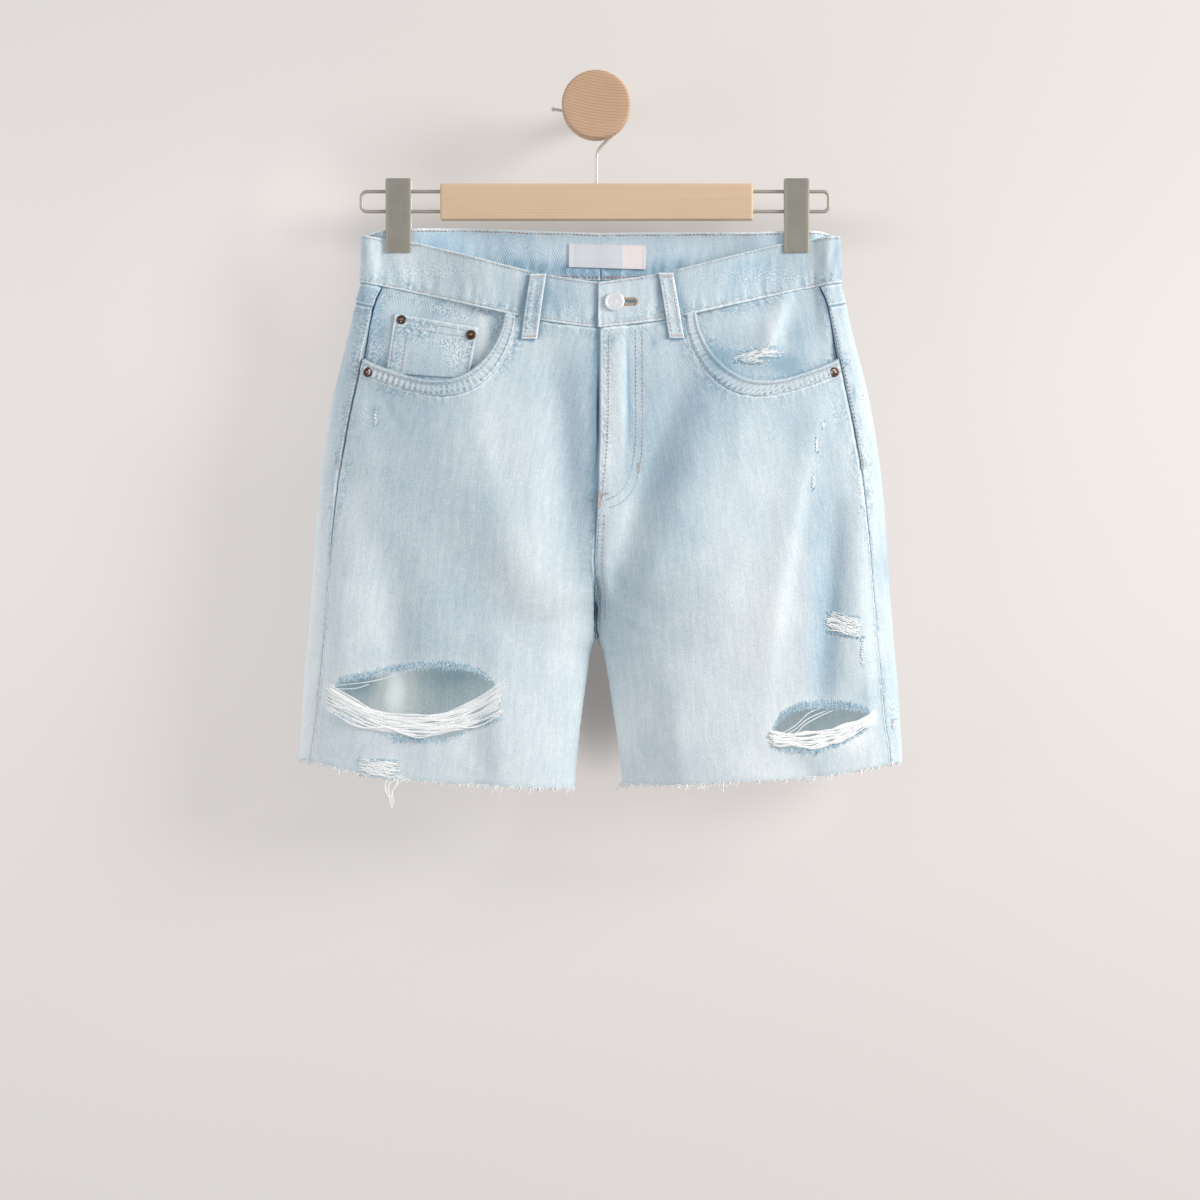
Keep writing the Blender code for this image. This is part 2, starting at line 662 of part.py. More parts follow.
def pocket_facing(side):
    """The denim that shows inside the curved opening, from the side seam to behind the front."""
    inner_across, low_drop = 68.0, 257.0
    share = np.linspace(0, 1, 11)
    drop = np.full((9, 11), 200.0)
    for _ in range(6):
        outer = body_at("outer", drop) - body_at("seam", drop)
        across = outer + share * (inner_across - outer)
        top = waist_at("front_low", across)
        drop = top + (low_drop - top) * np.linspace(0, 1, 9)[:, None]
    name = "pocket_facing_right" if side == RIGHT else "pocket_facing_left"
    lift = -pocket_recess(across, drop)
    edges = {"first_row": 1.2, "first_column": 0.4}
    return patch(name, side, front_turn(across, drop), drop, lift, FACING, "denim", edges)


HEM_CLOTH = 0.9
HEM_LIFT = 0.5 + HEM_CLOTH


def pocket_hem(side):
    """The turned edge of the pocket opening, a band of its own width lying on the front."""
    near_across, near_drop = pocket_edge(GAP)
    far_across, far_drop = pocket_edge(GAP, 1.0)
    share = np.linspace(0, 1, 4)[:, None]
    across = near_across + share * (far_across - near_across)
    drop = near_drop + share * (far_drop - near_drop)
    lowest = waist_at("front_low", across) + GAP
    outermost = body_at("outer", drop) - body_at("seam", drop) - 1.2
    keep = (np.min(drop - lowest, axis=0) > 0.5) & (np.max(across - outermost, axis=0) < 0)
    across, drop = across[:, keep], drop[:, keep]
    name = "pocket_hem_right" if side == RIGHT else "pocket_hem_left"
    return patch(name, side, front_turn(across, drop), drop, HEM_LIFT, HEM_CLOTH, "denim")


COIN_CORNERS = table(  # across and drop of the coin pocket's corners
    ("across", "drop"),
    (179.5, 181.3),
    (109.0, 193.0),
    (116.5, 238.5),
    (188.0, 233.5),
)


def coin_pocket():
    """A small patch pocket on the right facing. Its foot runs down behind the front."""
    u = np.linspace(0, 1, 7)
    v = np.linspace(0, 1, 5)[:, None]
    shares = ((1 - u) * (1 - v), u * (1 - v), u * v, (1 - u) * v)
    across = sum(COIN_CORNERS["across"][k] * shares[k] for k in range(4))
    drop = sum(COIN_CORNERS["drop"][k] * shares[k] for k in range(4))
    lift = 0.4 + FACING - pocket_recess(across, drop)
    return patch("coin_pocket", RIGHT, front_turn(across, drop), drop, lift, FACING, "denim")


def rivet(name, side, across, drop, lift):
    """A small domed rivet standing on the cloth, with a raised middle."""
    radius, height = 3.9, 1.3
    profile = [
        (0, 0),
        (radius, 0),
        (radius - 0.1, -0.7 * height),
        (radius - 0.9, -height),
        (radius - 1.9, -0.75 * height),
        (1.3, -0.75 * height),
        (0.9, -1.25 * height),
        (0, -1.35 * height),
    ]
    return stand_on(turned(name, profile, "copper", 16), side, across, drop, lift + GAP)


# ---------------------------------------------------------------- back pockets, loops and label
def back_pocket(side):
    """A plain patch pocket with a pointed foot."""
    inner, outer, top, low, point = 46.0, 176.0, 232.0, 358.0, 18.0
    u = np.linspace(0, 1, 11)
    v = np.linspace(0, 1, 7)[:, None]
    taper = 7.0 * v
    across = inner + taper + u * (outer - inner - 2 * taper)
    foot = low + point * (1 - np.abs(2 * u - 1))
    drop = top + v * (foot - top)
    name = "back_pocket_right" if side == RIGHT else "back_pocket_left"
    return patch(name, side, back_turn(across, drop), drop, 0.9 + FACING, FACING, "denim")


def belt_loop(name, side, turn_at, across, drops, width, cloth_lift):
    """A strip sewn down at both ends that stands off the band between them. across and drops give its top
    and lower end, and cloth_lift the cloth's own height under it."""
    share = np.linspace(0, 1, 11)[:, None]
    middle = across[0] + share * (across[1] - across[0])
    drop = drops[0] + share * (drops[1] - drops[0]) + np.zeros((1, 2))
    at = middle + np.array([[-0.5, 0.5]]) * width
    stand_off = 1.6 * ease(0.04, 0.3, share) * (1 - ease(0.62, 0.86, share))
    lift = cloth_lift(at, drop) + 0.5 + stand_off + LOOP
    return patch(name, side, turn_at(at, drop), drop, lift, LOOP, "denim")


def belt_loops():
    def on_front(side):
        return lambda at, drop: band_lift(side, at, True) * (
            1 - ease(0.5, 5.0, drop - waist_at("front_low", at))
        )

    def on_back(at, drop):
        return BAND_PROUD * (1 - ease(0.5, 5.0, drop - waist_at("back_low", at)))

    belt_loop("belt_loop_front_right", RIGHT, front_turn, (54.5, 62.5), (147.2, 204.5), 14.0, on_front(RIGHT))
    belt_loop("belt_loop_front_left", LEFT, front_turn, (57.0, 66.4), (146.2, 204.0), 12.8, on_front(LEFT))
    for side, word in ((RIGHT, "right"), (LEFT, "left")):
        belt_loop(f"belt_loop_back_{word}", side, back_turn, (118.0, 118.0), (107.6, 164.0), 13.4, on_back)
    belt_loop("belt_loop_back_centre", LEFT, back_turn, (0.0, 0.0), (109.4, 165.0), 13.4, on_back)


def waist_label():
    """A blank woven label on the inside of the back waistband."""
    across = np.linspace(-28.2, 40.0, 7) + np.zeros((3, 1))
    drop = 116.6 + 20.6 * np.linspace(0, 1, 3)[:, None] + 0 * across
    drop = drop + 2.0 * (across + 28.2) / 68.2
    lift = BAND_PROUD - BAND - GAP
    turn = back_turn(across, drop)
    outer, inner = shell(LEFT, turn, drop, lift), shell(LEFT, turn, drop, lift - 1.0)
    return wall("waist_label", outer, inner, "label_cloth")


# ---------------------------------------------------------------- frayed hems and rips
STRANDS, STRAND_WIDTH, FRAY_STRIP = 34, 1.2, 1.6


def hem_fray(side):
    """A ring of loosened cloth under the hem with short yarn ends hanging from it."""
    random = np.random.default_rng(11 + side)
    middles = (np.arange(STRANDS) + random.uniform(0.2, 0.8, STRANDS)) * 2 * math.pi / STRANDS
    half = STRAND_WIDTH / 2
    turn = np.stack([middles - 0.006, middles + 0.006], axis=1).reshape(-1)
    drop = settle_drop(lambda a: hem_at(side, a), lambda d: turn, np.full(turn.shape, 585.0))
    centre, width = leg_tube(drop)
    rate = np.linalg.norm(body(side, turn + 1e-3, drop) - body(side, turn - 1e-3, drop), axis=-1) / 2e-3
    turn = np.repeat(middles, 2) + np.tile([-half, half], STRANDS) / rate
    top, low = drop + 0.5, drop + 0.5 + FRAY_STRIP
    rings = [
        shell(side, turn, top, -0.1),
        shell(side, turn, top, -CLOTH + 0.1),
        shell(side, turn, low, -CLOTH + 0.1),
        shell(side, turn, low, -0.1),
    ]
    points = np.concatenate(rings)
    count = len(turn)
    faces, strands = [], []
    for k in range(count):
        after = (k + 1) % count
        for ring in range(3):
            a, b = ring * count, (ring + 1) * count
            if ring == 2 and k % 2 == 0:
                strands.append((a + k, a + after, b + after, b + k))
                continue
            faces.append((a + k, a + after, b + after, b + k))
        faces.append((3 * count + k, 3 * count + after, after, k))
    for number, root in enumerate(strands):
        corners = points[list(root)]
        middle = corners.mean(axis=0)
        length = random.uniform(2.0, 6.5)
        lean = random.uniform(-0.5, 0.5, 2)
        if side == RIGHT and number == LOOSE_YARN:
            length, lean = 17.0, np.array([0.15, 0.0])
        tip = middle + (corners - middle) * 0.4 + length * np.array([lean[0], 0.5 * lean[1], -1.0])
        first = len(points)
        points = np.concatenate([points, tip])
        for a, b in ((0, 1), (1, 2), (2, 3), (3, 0)):
            faces.append((root[a], root[b], first + b, first + a))
        faces.append(tuple(range(first, first + 4)))
    name = "hem_fray_right" if side == RIGHT else "hem_fray_left"
    return solid(name, points, faces, "raw_yarn")


LOOSE_YARN = 10  # the long yarn end in front of the right leg


def rip_yarns(side, table_of, count, radius):
    """White weft yarns hanging across a rip, fused at both ends into a strip behind the front."""
    depth = -(CLOTH + 1.0 + radius)
    name = "rip_yarns_right" if side == RIGHT else "rip_yarns_left"
    share = np.linspace(-1, 1, 10)
    strips = []
    for end, inward in ((0, -1), (2, 1)):
        at = table_of["across"][end] + inward * np.array([[-1.2, 1.2]])
        drop = np.linspace(table_of["upper"][end] - 2, table_of["lower"][end] + 2, 5)[:, None] + 0 * at
        thick = 2 * radius - 0.2
        turn = front_turn(at + 0 * drop, drop)
        strips.append(patch(f"{name}_strip_{end}", side, turn, drop, depth + thick / 2, thick, "raw_yarn"))
    joined = strips[0]
    joined.name = name
    for k in range(count):
        level = k / (count - 1)
        at_end = [table_of["upper"][e] + level * (table_of["lower"][e] - table_of["upper"][e]) for e in range(3)]
        line = at_end[0] + (at_end[2] - at_end[0]) * (share + 1) / 2
        sag = at_end[1] - (at_end[0] + at_end[2]) / 2
        drop = line + sag * (1 - share**2)
        across = table_of["across"][0] + (table_of["across"][2] - table_of["across"][0]) * (share + 1) / 2
        path = front_point(side, across, drop, depth)
        strand = rod(f"{name}_{k}", path, radius * (1.0 if k % 2 else 0.8), "raw_yarn", 4)
        combine(joined, strand, "UNION")
    combine(joined, strips[1], "UNION")
    return joined


# ---------------------------------------------------------------- hanger and wall peg
def hanger_bar():
    half = BAR_WIDTH / 2
    outline = [
        (HANGER_X - half, -BAR_LOW_DROP),
        (HANGER_X + half, -BAR_LOW_DROP),
        (HANGER_X + half, -BAR_TOP_DROP),
        (HANGER_X - half, -BAR_TOP_DROP),
    ]
    made = prism("hanger_bar", outline, HANG_Y - BAR_THICK / 2, HANG_Y + BAR_THICK / 2, "beech")
    bevel = made.modifiers.new("eased_edges", "BEVEL")
    bevel.width = 1.0 * MM
    bevel.segments = 2
    for side in (RIGHT, LEFT):
        for drop in (WIRE_TOP_DROP, WIRE_LOW_DROP):
            end = HANGER_X + side * half
            path = [(end - side * WIRE_DEPTH_IN_BAR - side, HANG_Y, -drop), (end + side * 5, HANG_Y, -drop)]
            combine(made, hole_cutter(f"cut_wire_{side}_{drop:.0f}", path, WIRE_RADIUS + GAP), "DIFFERENCE")
    path = [(HANGER_X, HANG_Y, -BAR_TOP_DROP - HOOK_DEPTH_IN_BAR - 1), (HANGER_X, HANG_Y, -BAR_TOP_DROP + 5)]
    combine(made, hole_cutter("cut_hook", path, HOOK_RADIUS + GAP), "DIFFERENCE")
    return made


WIRE_DEPTH_IN_BAR, HOOK_DEPTH_IN_BAR, HOOK_RADIUS = 10.0, 10.0, 1.4


def hole_cutter(name, path, radius, steps=12):
    """A straight round cutter between two points."""
    start, end = np.array(path[0], float), np.array(path[1], float)
    forward = (end - start) / np.linalg.norm(end - start)
    one = np.cross(forward, (0.0, 1.0, 0.0))
    two = np.cross(forward, one)
    angles = np.arange(steps) * 2 * math.pi / steps
    ring = radius * (np.cos(angles)[:, None] * one + np.sin(angles)[:, None] * two)
    points = np.concatenate([start + ring, end + ring])
    faces = [tuple(range(steps)), tuple(range(2 * steps - 1, steps - 1, -1))]
    faces += [(k, (k + 1) % steps, steps + (k + 1) % steps, steps + k) for k in range(steps)]
    return solid(name, points, faces, "nickel")


def arc(centre, radius, start, end, count):
    """Points of an arc in the hanger's plane, in degrees counted from +X towards +Z."""
    angles = np.radians(np.linspace(start, end, count))
    return [(centre[0] + radius * math.cos(a), HANG_Y, centre[1] + radius * math.sin(a)) for a in angles]


def hanger_wire(side):
    """A wire loop that carries a clip: two level runs, joined at the outer end by two round corners."""
    corner = 5.0
    start = HANGER_X + side * (BAR_WIDTH / 2 - WIRE_DEPTH_IN_BAR)
    end = HANGER_X + side * (WIRE_END - WIRE_RADIUS)
    top, low = -WIRE_TOP_DROP, -WIRE_LOW_DROP
    turn_x = end - side * corner
    upper = arc((turn_x, top - corner), corner, 90, 90 - side * 90, 6)
    lower = arc((turn_x, low + corner), corner, 90 - side * 90, -90 if side == LEFT else 270, 6)
    points = [(start, HANG_Y, top), *upper, *lower, (start, HANG_Y, low)]
    return rod("hanger_wire_right" if side == RIGHT else "hanger_wire_left", points, WIRE_RADIUS, "nickel")


def hanger_clip(side):
    """Two plates that close on the waistband below, joined by a block that the wire's two runs pass through."""
    x = CLIP_RIGHT_X if side == RIGHT else CLIP_LEFT_X
    jaw = BAND + GAP / 2 + 0.45  # half gap between the plates at the jaws
    waist = 3.4  # and at the block
    handle = 6.2  # and at the top
    block_top, block_low = WIRE_TOP_DROP - 4.2, WIRE_LOW_DROP + 4.2
    inside = [(handle, CLIP_TOP_DROP), (waist + 1.9, block_top), (0, block_top)]
    below = [(0, block_low), (waist, block_low), (jaw, CLIP_LOW_DROP - 11), (jaw, CLIP_LOW_DROP)]
    outside = [
        (jaw + CLIP_SHEET, CLIP_LOW_DROP),
        (jaw + CLIP_SHEET, CLIP_LOW_DROP - 11),
        (waist + CLIP_SHEET, block_low),
        (handle + CLIP_SHEET, CLIP_TOP_DROP),
    ]
    half = [*below[1:], *outside, inside[0], inside[1]]
    outline = [(y, -d) for y, d in half] + [(-y, -d) for y, d in half[::-1]]
    count = len(outline)
    points = [(x + s * CLIP_WIDTH / 2, HANG_Y + y, z) for s in (-1, 1) for y, z in outline]
    faces = [tuple(range(count)), tuple(range(2 * count - 1, count - 1, -1))]
    faces += [(k, (k + 1) % count, count + (k + 1) % count, count + k) for k in range(count)]
    made = solid("hanger_clip_right" if side == RIGHT else "hanger_clip_left", points, faces, "nickel")
    for drop in (WIRE_TOP_DROP, WIRE_LOW_DROP):
        path = [(x - CLIP_WIDTH, HANG_Y, -drop), (x + CLIP_WIDTH, HANG_Y, -drop)]
        combine(made, hole_cutter(f"cut_clip_{side}_{drop:.0f}", path, WIRE_RADIUS + GAP), "DIFFERENCE")
    return made


HOOK_ARC_RADIUS = 20.0


def hanger_hook():
    """From the bar up, a bend towards the wearer's left, over the peg and down to an outward tip."""
    top = PEG_RADIUS + GAP + HOOK_RADIUS
    centre = (0.0, top - HOOK_ARC_RADIUS)
    bend_drop = 46.0
    neck = [
        (HANGER_X, HANG_Y, -BAR_TOP_DROP - HOOK_DEPTH_IN_BAR),
        (HANGER_X, HANG_Y, -bend_drop),
        (HANGER_X + 0.8, HANG_Y, 6.0 - bend_drop),
        (HANGER_X + 2.8, HANG_Y, 12.0 - bend_drop),
        (HANGER_X + 7.0, HANG_Y, 17.5 - bend_drop),
        (HANGER_X + 11.6, HANG_Y, 21.5 - bend_drop),
    ]
    round_peg = arc(centre, HOOK_ARC_RADIUS, -32, 152, 22)
    tip_ends = ((-20.6, -3.4), (-24.5, -4.4), (-29.5, -3.2), (-34.0, -0.8), (-38.0, 1.8))
    tip = [(x, HANG_Y, z) for x, z in tip_ends]
    return rod("hanger_hook", neck + round_peg + tip, HOOK_RADIUS, "nickel")


def wall_peg():
    """A dowel that stands out from the wall and a round wooden disc in front of it."""
    ease_edge = 1.5
    profile = [
        (0, 0),
        (PEG_RADIUS, 0),
        (PEG_RADIUS, DISC_BACK_Y),
        (DISC_RADIUS - ease_edge, DISC_BACK_Y),
        (DISC_RADIUS, DISC_BACK_Y - ease_edge),
        (DISC_RADIUS, DISC_FRONT_Y + ease_edge),
        (DISC_RADIUS - ease_edge, DISC_FRONT_Y),
        (0, DISC_FRONT_Y),
    ]
    return turned("wall_peg", profile, "beech", 40)


# ---------------------------------------------------------------- the whole part
def main():
    for old in list(bpy.data.objects):
        bpy.data.objects.remove(old)
    for side in (RIGHT, LEFT):
        front_panel(side)
        back_panel(side)
        yoke(side)
        waistband(side)
        pocket_facing(side)
        pocket_hem(side)
        back_pocket(side)
        hem_fray(side)
        hanger_wire(side)
        hanger_clip(side)
    rip_yarns(RIGHT, YARNS_RIGHT, 7, 0.8)
    rip_yarns(LEFT, YARNS_LEFT, 4, 0.8)
    coin_pocket()
    belt_loops()
    waist_button()
    waist_label()
    rivet("rivet_pocket_right", RIGHT, 204.0, 232.0, HEM_LIFT)
    rivet("rivet_pocket_left", LEFT, 205.5, 231.0, HEM_LIFT)
    for name, across, drop in (("rivet_coin_outer", 175.5, 186.0), ("rivet_coin_inner", 113.5, 198.4)):
        coin_lift = 0.4 + FACING - pocket_recess(across, drop)
        rivet(name, RIGHT, across, drop, coin_lift)
    hanger_bar()
    hanger_hook()
    wall_peg()


main()
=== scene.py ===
import json
import math

import bpy
import numpy as np
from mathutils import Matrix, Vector

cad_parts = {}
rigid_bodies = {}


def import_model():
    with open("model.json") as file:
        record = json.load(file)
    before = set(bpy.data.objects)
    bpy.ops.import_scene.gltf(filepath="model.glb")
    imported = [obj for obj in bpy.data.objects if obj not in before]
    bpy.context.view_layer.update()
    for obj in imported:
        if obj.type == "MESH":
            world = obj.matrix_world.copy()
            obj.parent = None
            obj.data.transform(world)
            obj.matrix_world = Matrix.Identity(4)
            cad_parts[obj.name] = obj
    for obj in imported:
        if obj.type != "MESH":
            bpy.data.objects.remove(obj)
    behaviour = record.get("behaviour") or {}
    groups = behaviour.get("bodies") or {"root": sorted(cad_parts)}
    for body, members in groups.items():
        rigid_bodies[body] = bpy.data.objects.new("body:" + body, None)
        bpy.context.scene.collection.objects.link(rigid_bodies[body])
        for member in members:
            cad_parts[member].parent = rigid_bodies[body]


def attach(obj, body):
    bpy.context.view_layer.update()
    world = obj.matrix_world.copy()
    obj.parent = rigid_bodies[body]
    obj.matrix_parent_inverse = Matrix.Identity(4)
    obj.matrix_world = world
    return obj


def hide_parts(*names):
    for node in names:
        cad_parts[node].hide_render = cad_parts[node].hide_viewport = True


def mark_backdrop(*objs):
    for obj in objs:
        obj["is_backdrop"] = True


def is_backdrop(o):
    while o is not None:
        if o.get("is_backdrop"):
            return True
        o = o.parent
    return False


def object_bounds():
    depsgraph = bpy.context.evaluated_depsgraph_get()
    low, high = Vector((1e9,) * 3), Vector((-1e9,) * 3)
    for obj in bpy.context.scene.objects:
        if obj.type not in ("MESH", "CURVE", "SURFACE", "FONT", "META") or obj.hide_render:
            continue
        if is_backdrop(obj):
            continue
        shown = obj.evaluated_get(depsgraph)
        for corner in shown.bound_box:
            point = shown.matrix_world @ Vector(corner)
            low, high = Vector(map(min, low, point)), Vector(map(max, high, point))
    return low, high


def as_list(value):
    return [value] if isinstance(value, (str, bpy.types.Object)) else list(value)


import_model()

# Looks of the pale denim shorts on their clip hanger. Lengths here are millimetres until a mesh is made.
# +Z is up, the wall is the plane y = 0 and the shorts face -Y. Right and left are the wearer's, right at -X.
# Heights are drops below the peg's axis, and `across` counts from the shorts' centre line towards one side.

CAD_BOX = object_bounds()
MM = 0.001
RIGHT, LEFT = -1, 1
WORD = {RIGHT: "right", LEFT: "left"}

# ---- sizes of the shorts
HANG_Y = -60
SHORTS_X = 4
HANGER_X = 0.4
CLOTH, PATCH_CLOTH, HEM_CLOTH = 1.3, 1, 0.9
BAND, BAND_PROUD = 2.4, 0.9
LOOP = 1.8
CROTCH_DROP = 467
FLY_END_DROP = 350
SEAM = 0.15
CLIP_RIGHT_X, CLIP_LEFT_X, CLIP_WIDTH, CLIP_LOW_DROP, CLIP_CLEAR = -173.8, 176.2, 22.5, 126.8, 3
POCKET_CORNER_ACROSS, POCKET_CORNER_DROP = 193, 158.4
BUTTON_ACROSS, BUTTON_DROP, BUTTON_RADIUS = 12.3, 171.6, 8.4
BUTTONHOLE_END, BUTTONHOLE_HALF = 31, 1.7


def table(names, *rows):
    """A table as columns: {name: array}, one value for each row."""
    return dict(zip(names, np.array(rows, float).T, strict=True))


BODY = table(  # half widths, depths before and behind the hanger, bluntness, side seam in from the outline
    ("drop", "outer", "inner", "front", "back", "blunt", "seam"),
    (105, 210, -210, 15, 15, 0.6, 21), (153, 211.5, -211.5, 19, 20, 0.62, 20.5),
    (168, 215.2, -215.2, 21, 22.5, 0.64, 18), (186, 218.8, -218.8, 23.5, 26, 0.66, 17),
    (221, 227.5, -227.5, 28, 32, 0.7, 18), (256, 236.1, -236.1, 32, 37, 0.74, 19),
    (291, 242.4, -238, 35, 41, 0.77, 18.5), (326, 247.2, -222, 37, 43, 0.8, 17.5),
    (360, 250, -178, 38.5, 44, 0.82, 16.5), (397, 252.5, -98, 39.5, 44.5, 0.83, 15.5),
    (418, 253.8, -46, 39.8, 44.2, 0.835, 15.2), (432, 254.7, -20, 40, 44, 0.84, 15),
    (445, 255.8, -6, 40, 43.8, 0.845, 15.2), (CROTCH_DROP, 257.5, 0.4, 40, 43.5, 0.85, 15.5),
    (478, 259, 5.2, 39.8, 43.3, 0.85, 15.5), (489, 260, 7.3, 39.5, 43, 0.85, 15.5),
    (511, 261.6, 11, 39, 42.5, 0.85, 15), (538, 263.2, 14.7, 38.5, 42, 0.85, 14),
    (564, 264.8, 17.9, 38, 41.5, 0.85, 11.5), (600, 266, 21.4, 37.5, 41, 0.85, 10),
)  # fmt: skip
DRIFT = table(  # how far the centre line strays towards the right leg
    ("drop", "stray"),
    (290, 0), (330, 1.8), (375, 4.4), (397, 5.6), (432, 3.4), (CROTCH_DROP, 3.3), (538, 2.4), (600, 1.9),
)  # fmt: skip
WAIST = table(  # the waistband's edges
    ("across", "front_top", "front_low", "back_top", "back_low"),
    (0, 154, 194.5, 108.6, 149), (44, 147.7, 189.2, 108.2, 148.6), (88, 137.3, 180, 107, 148),
    (132, 125.4, 169.6, 106.6, 147.6), (161, 118.2, 163, 106.4, 147.8),
    (189, 114.2, 157.2, 106.6, 149.4), (211.5, 111.6, 153.2, 111.6, 153.2),
)  # fmt: skip
BACK_RISE = table(  # how far the band's back edge stands above the even curve, on each leg's side
    ("across", "right", "left"),
    (0, 1.3, 1.3), (36, 2.3, 1.5), (70, 2.4, 0.8), (107, 2.9, 0), (142, 2, -1.2), (185, 0.8, -0.5),
    (211.5, 0, 0),
)  # fmt: skip
HEM = table(
    ("across", "right", "left"),
    (21, 596.6, 593.1), (53, 595.4, 593.5), (88, 593.8, 592.2), (123, 591.6, 589.6), (158, 589, 588.2),
    (194, 585.6, 585.2), (220, 580.6, 581.2), (246, 574.6, 576.4), (267, 570.2, 572.4),
)  # fmt: skip
POCKET = table(  # the opening as radii about its corner, and the width of its stitched hem
    ("angle", "radius", "hem_width"),
    (6, 111, 8), (21, 113, 10.8), (31, 112.5, 12.4), (40, 110.3, 14.3), (51, 104.2, 15.6),
    (58, 97.5, 15.9), (67, 88, 15), (75, 80, 13.8), (84, 73, 13), (94, 68, 12.5),
    (104, 64.5, 12.2), (112, 63, 12),
)  # fmt: skip
RIPS = {  # the edges of the two rips
    RIGHT: table(
        ("across", "upper", "lower"),
        (89, 512, 519), (95, 502, 531), (112, 493.8, 542), (141, 490.2, 553.5), (176, 493.7, 549.1),
        (202, 499, 540.3), (224, 502.5, 532.4), (234, 512, 521),
    ),
    LEFT: table(
        ("across", "upper", "lower"),
        (150, 545, 556.2), (158, 533.3, 560.6), (176, 525.8, 561.9), (202, 525.4, 557.9),
        (224, 527.1, 547.4), (235, 530.8, 537),
    ),
}  # fmt: skip

# Folds: across and drop of the upper end, middle and lower end, half widths towards the centre line and away
# from it, and height (below 0, a trough).
FRONT_FOLDS = {
    RIGHT: (
        (126, 192, 100, 332, 36, 452, 50, 56, 8), (90, 326, 62, 402, 8, 480, 26, 34, 4.5),
        (50, 196, 31, 300, 16, 430, 16, 17, -5), (232, 330, 229, 440, 233, 548, 28, 12, 5),
        (186, 370, 179, 450, 184, 545, 20, 18, -4.5), (88, 450, 86, 550, 84, 660, 42, 16, 6.5),
        (178, 300, 160, 400, 132, 500, 28, 30, 1.8), (168, 540, 172, 575, 178, 610, 18, 12, -1.8),
        (230, 250, 224, 300, 226, 352, 5, 6, -0.9), (214, 246, 205, 285, 203, 330, 6, 7, 0.8),
        (196, 240, 186, 262, 170, 292, 4, 6, -0.8), (12, 395, 30, 418, 62, 436, 6, 8, -1.1),
        (9, 418, 26, 437, 55, 452, 5, 7, 0.9), (8, 436, 21, 455, 40, 482, 4.5, 6, -0.9),
        (92, 262, 88, 300, 80, 345, 9, 7, -0.8), (122, 560, 112, 575, 96, 600, 7, 8, 0.9),
        (132, 262, 128, 284, 122, 312, 5, 7, 0.6), (62, 300, 58, 350, 50, 400, 7, 5, 0.9),
    ),
    LEFT: (
        (114, 205, 80, 333, 28, 480, 25, 62, 8.5), (78, 225, 41, 333, 17, 476, 12, 14, -4.2),
        (197, 236, 172, 335, 140, 540, 15, 8, 3.4), (207, 300, 199, 430, 190, 560, 11, 12, -6),
        (232, 300, 228, 430, 224, 560, 10, 14, 2.6), (60, 470, 72, 540, 82, 640, 20, 46, 4.4),
        (166, 150, 154, 190, 141, 232, 13, 7, 5), (160, 556, 176, 578, 190, 610, 22, 12, -2.4),
        (15, 180, 15, 242, 15, 310, 7, 8, 2), (18, 190, 18, 250, 20, 340, 4.2, 3.2, 0.9),
        (24.4, 190, 24.2, 250, 25, 330, 2.2, 2.8, -1.1), (12, 360, 10, 410, 12, 462, 4, 4, 1.2),
        (10, 402, 26, 424, 52, 446, 6, 8, -1.2), (8, 424, 22, 444, 47, 462, 5, 7, 0.9),
        (9, 440, 17, 462, 30, 492, 4, 6, -0.8), (118, 262, 122, 300, 118, 352, 8, 9, 0.9),
        (226, 250, 220, 296, 222, 350, 5, 5, -0.9), (232, 440, 233, 500, 236, 560, 5, 4, 1),
        (214, 560, 206, 574, 194, 600, 6, 7, -0.9), (240, 556, 236, 574, 234, 600, 6, 5, 1),
        (60, 500, 66, 545, 72, 610, 9, 7, 0.9),
    ),
}  # fmt: skip
BACK_FOLDS = {
    RIGHT: (
        (34, 340, 62, 410, 118, 540, 22, 16, -5), (60, 330, 92, 410, 140, 520, 16, 34, 4.5),
        (150, 400, 160, 480, 165, 640, 22, 34, 5), (80, 480, 84, 550, 86, 640, 16, 22, 3.5),
        (218, 300, 212, 420, 214, 560, 14, 12, -4), (10, 392, 34, 418, 72, 440, 6, 8, -1.2),
        (9, 414, 28, 440, 60, 462, 5, 7, 1), (8, 438, 20, 460, 38, 490, 4.5, 6, -0.9),
        (200, 250, 206, 300, 204, 360, 7, 5, -0.9), (226, 380, 222, 440, 226, 520, 6, 5, 0.9),
        (118, 384, 124, 420, 128, 470, 8, 6, -0.9),
    ),
    LEFT: (
        (40, 330, 72, 412, 134, 545, 16, 24, -5.5), (66, 322, 104, 410, 152, 530, 30, 16, 4.5),
        (178, 380, 170, 470, 160, 640, 34, 18, 5), (96, 470, 92, 550, 90, 640, 18, 22, -3.5),
        (222, 280, 216, 400, 220, 560, 12, 16, -4), (10, 398, 36, 422, 76, 446, 6, 9, -1.2),
        (9, 420, 26, 446, 56, 470, 5, 7, 1), (8, 444, 18, 464, 34, 496, 4.5, 6, -0.8),
        (196, 252, 202, 306, 198, 372, 7, 6, -1), (232, 400, 226, 460, 230, 540, 6, 5, 0.9),
        (124, 380, 128, 424, 136, 476, 8, 6, 0.9),
    ),
}  # fmt: skip

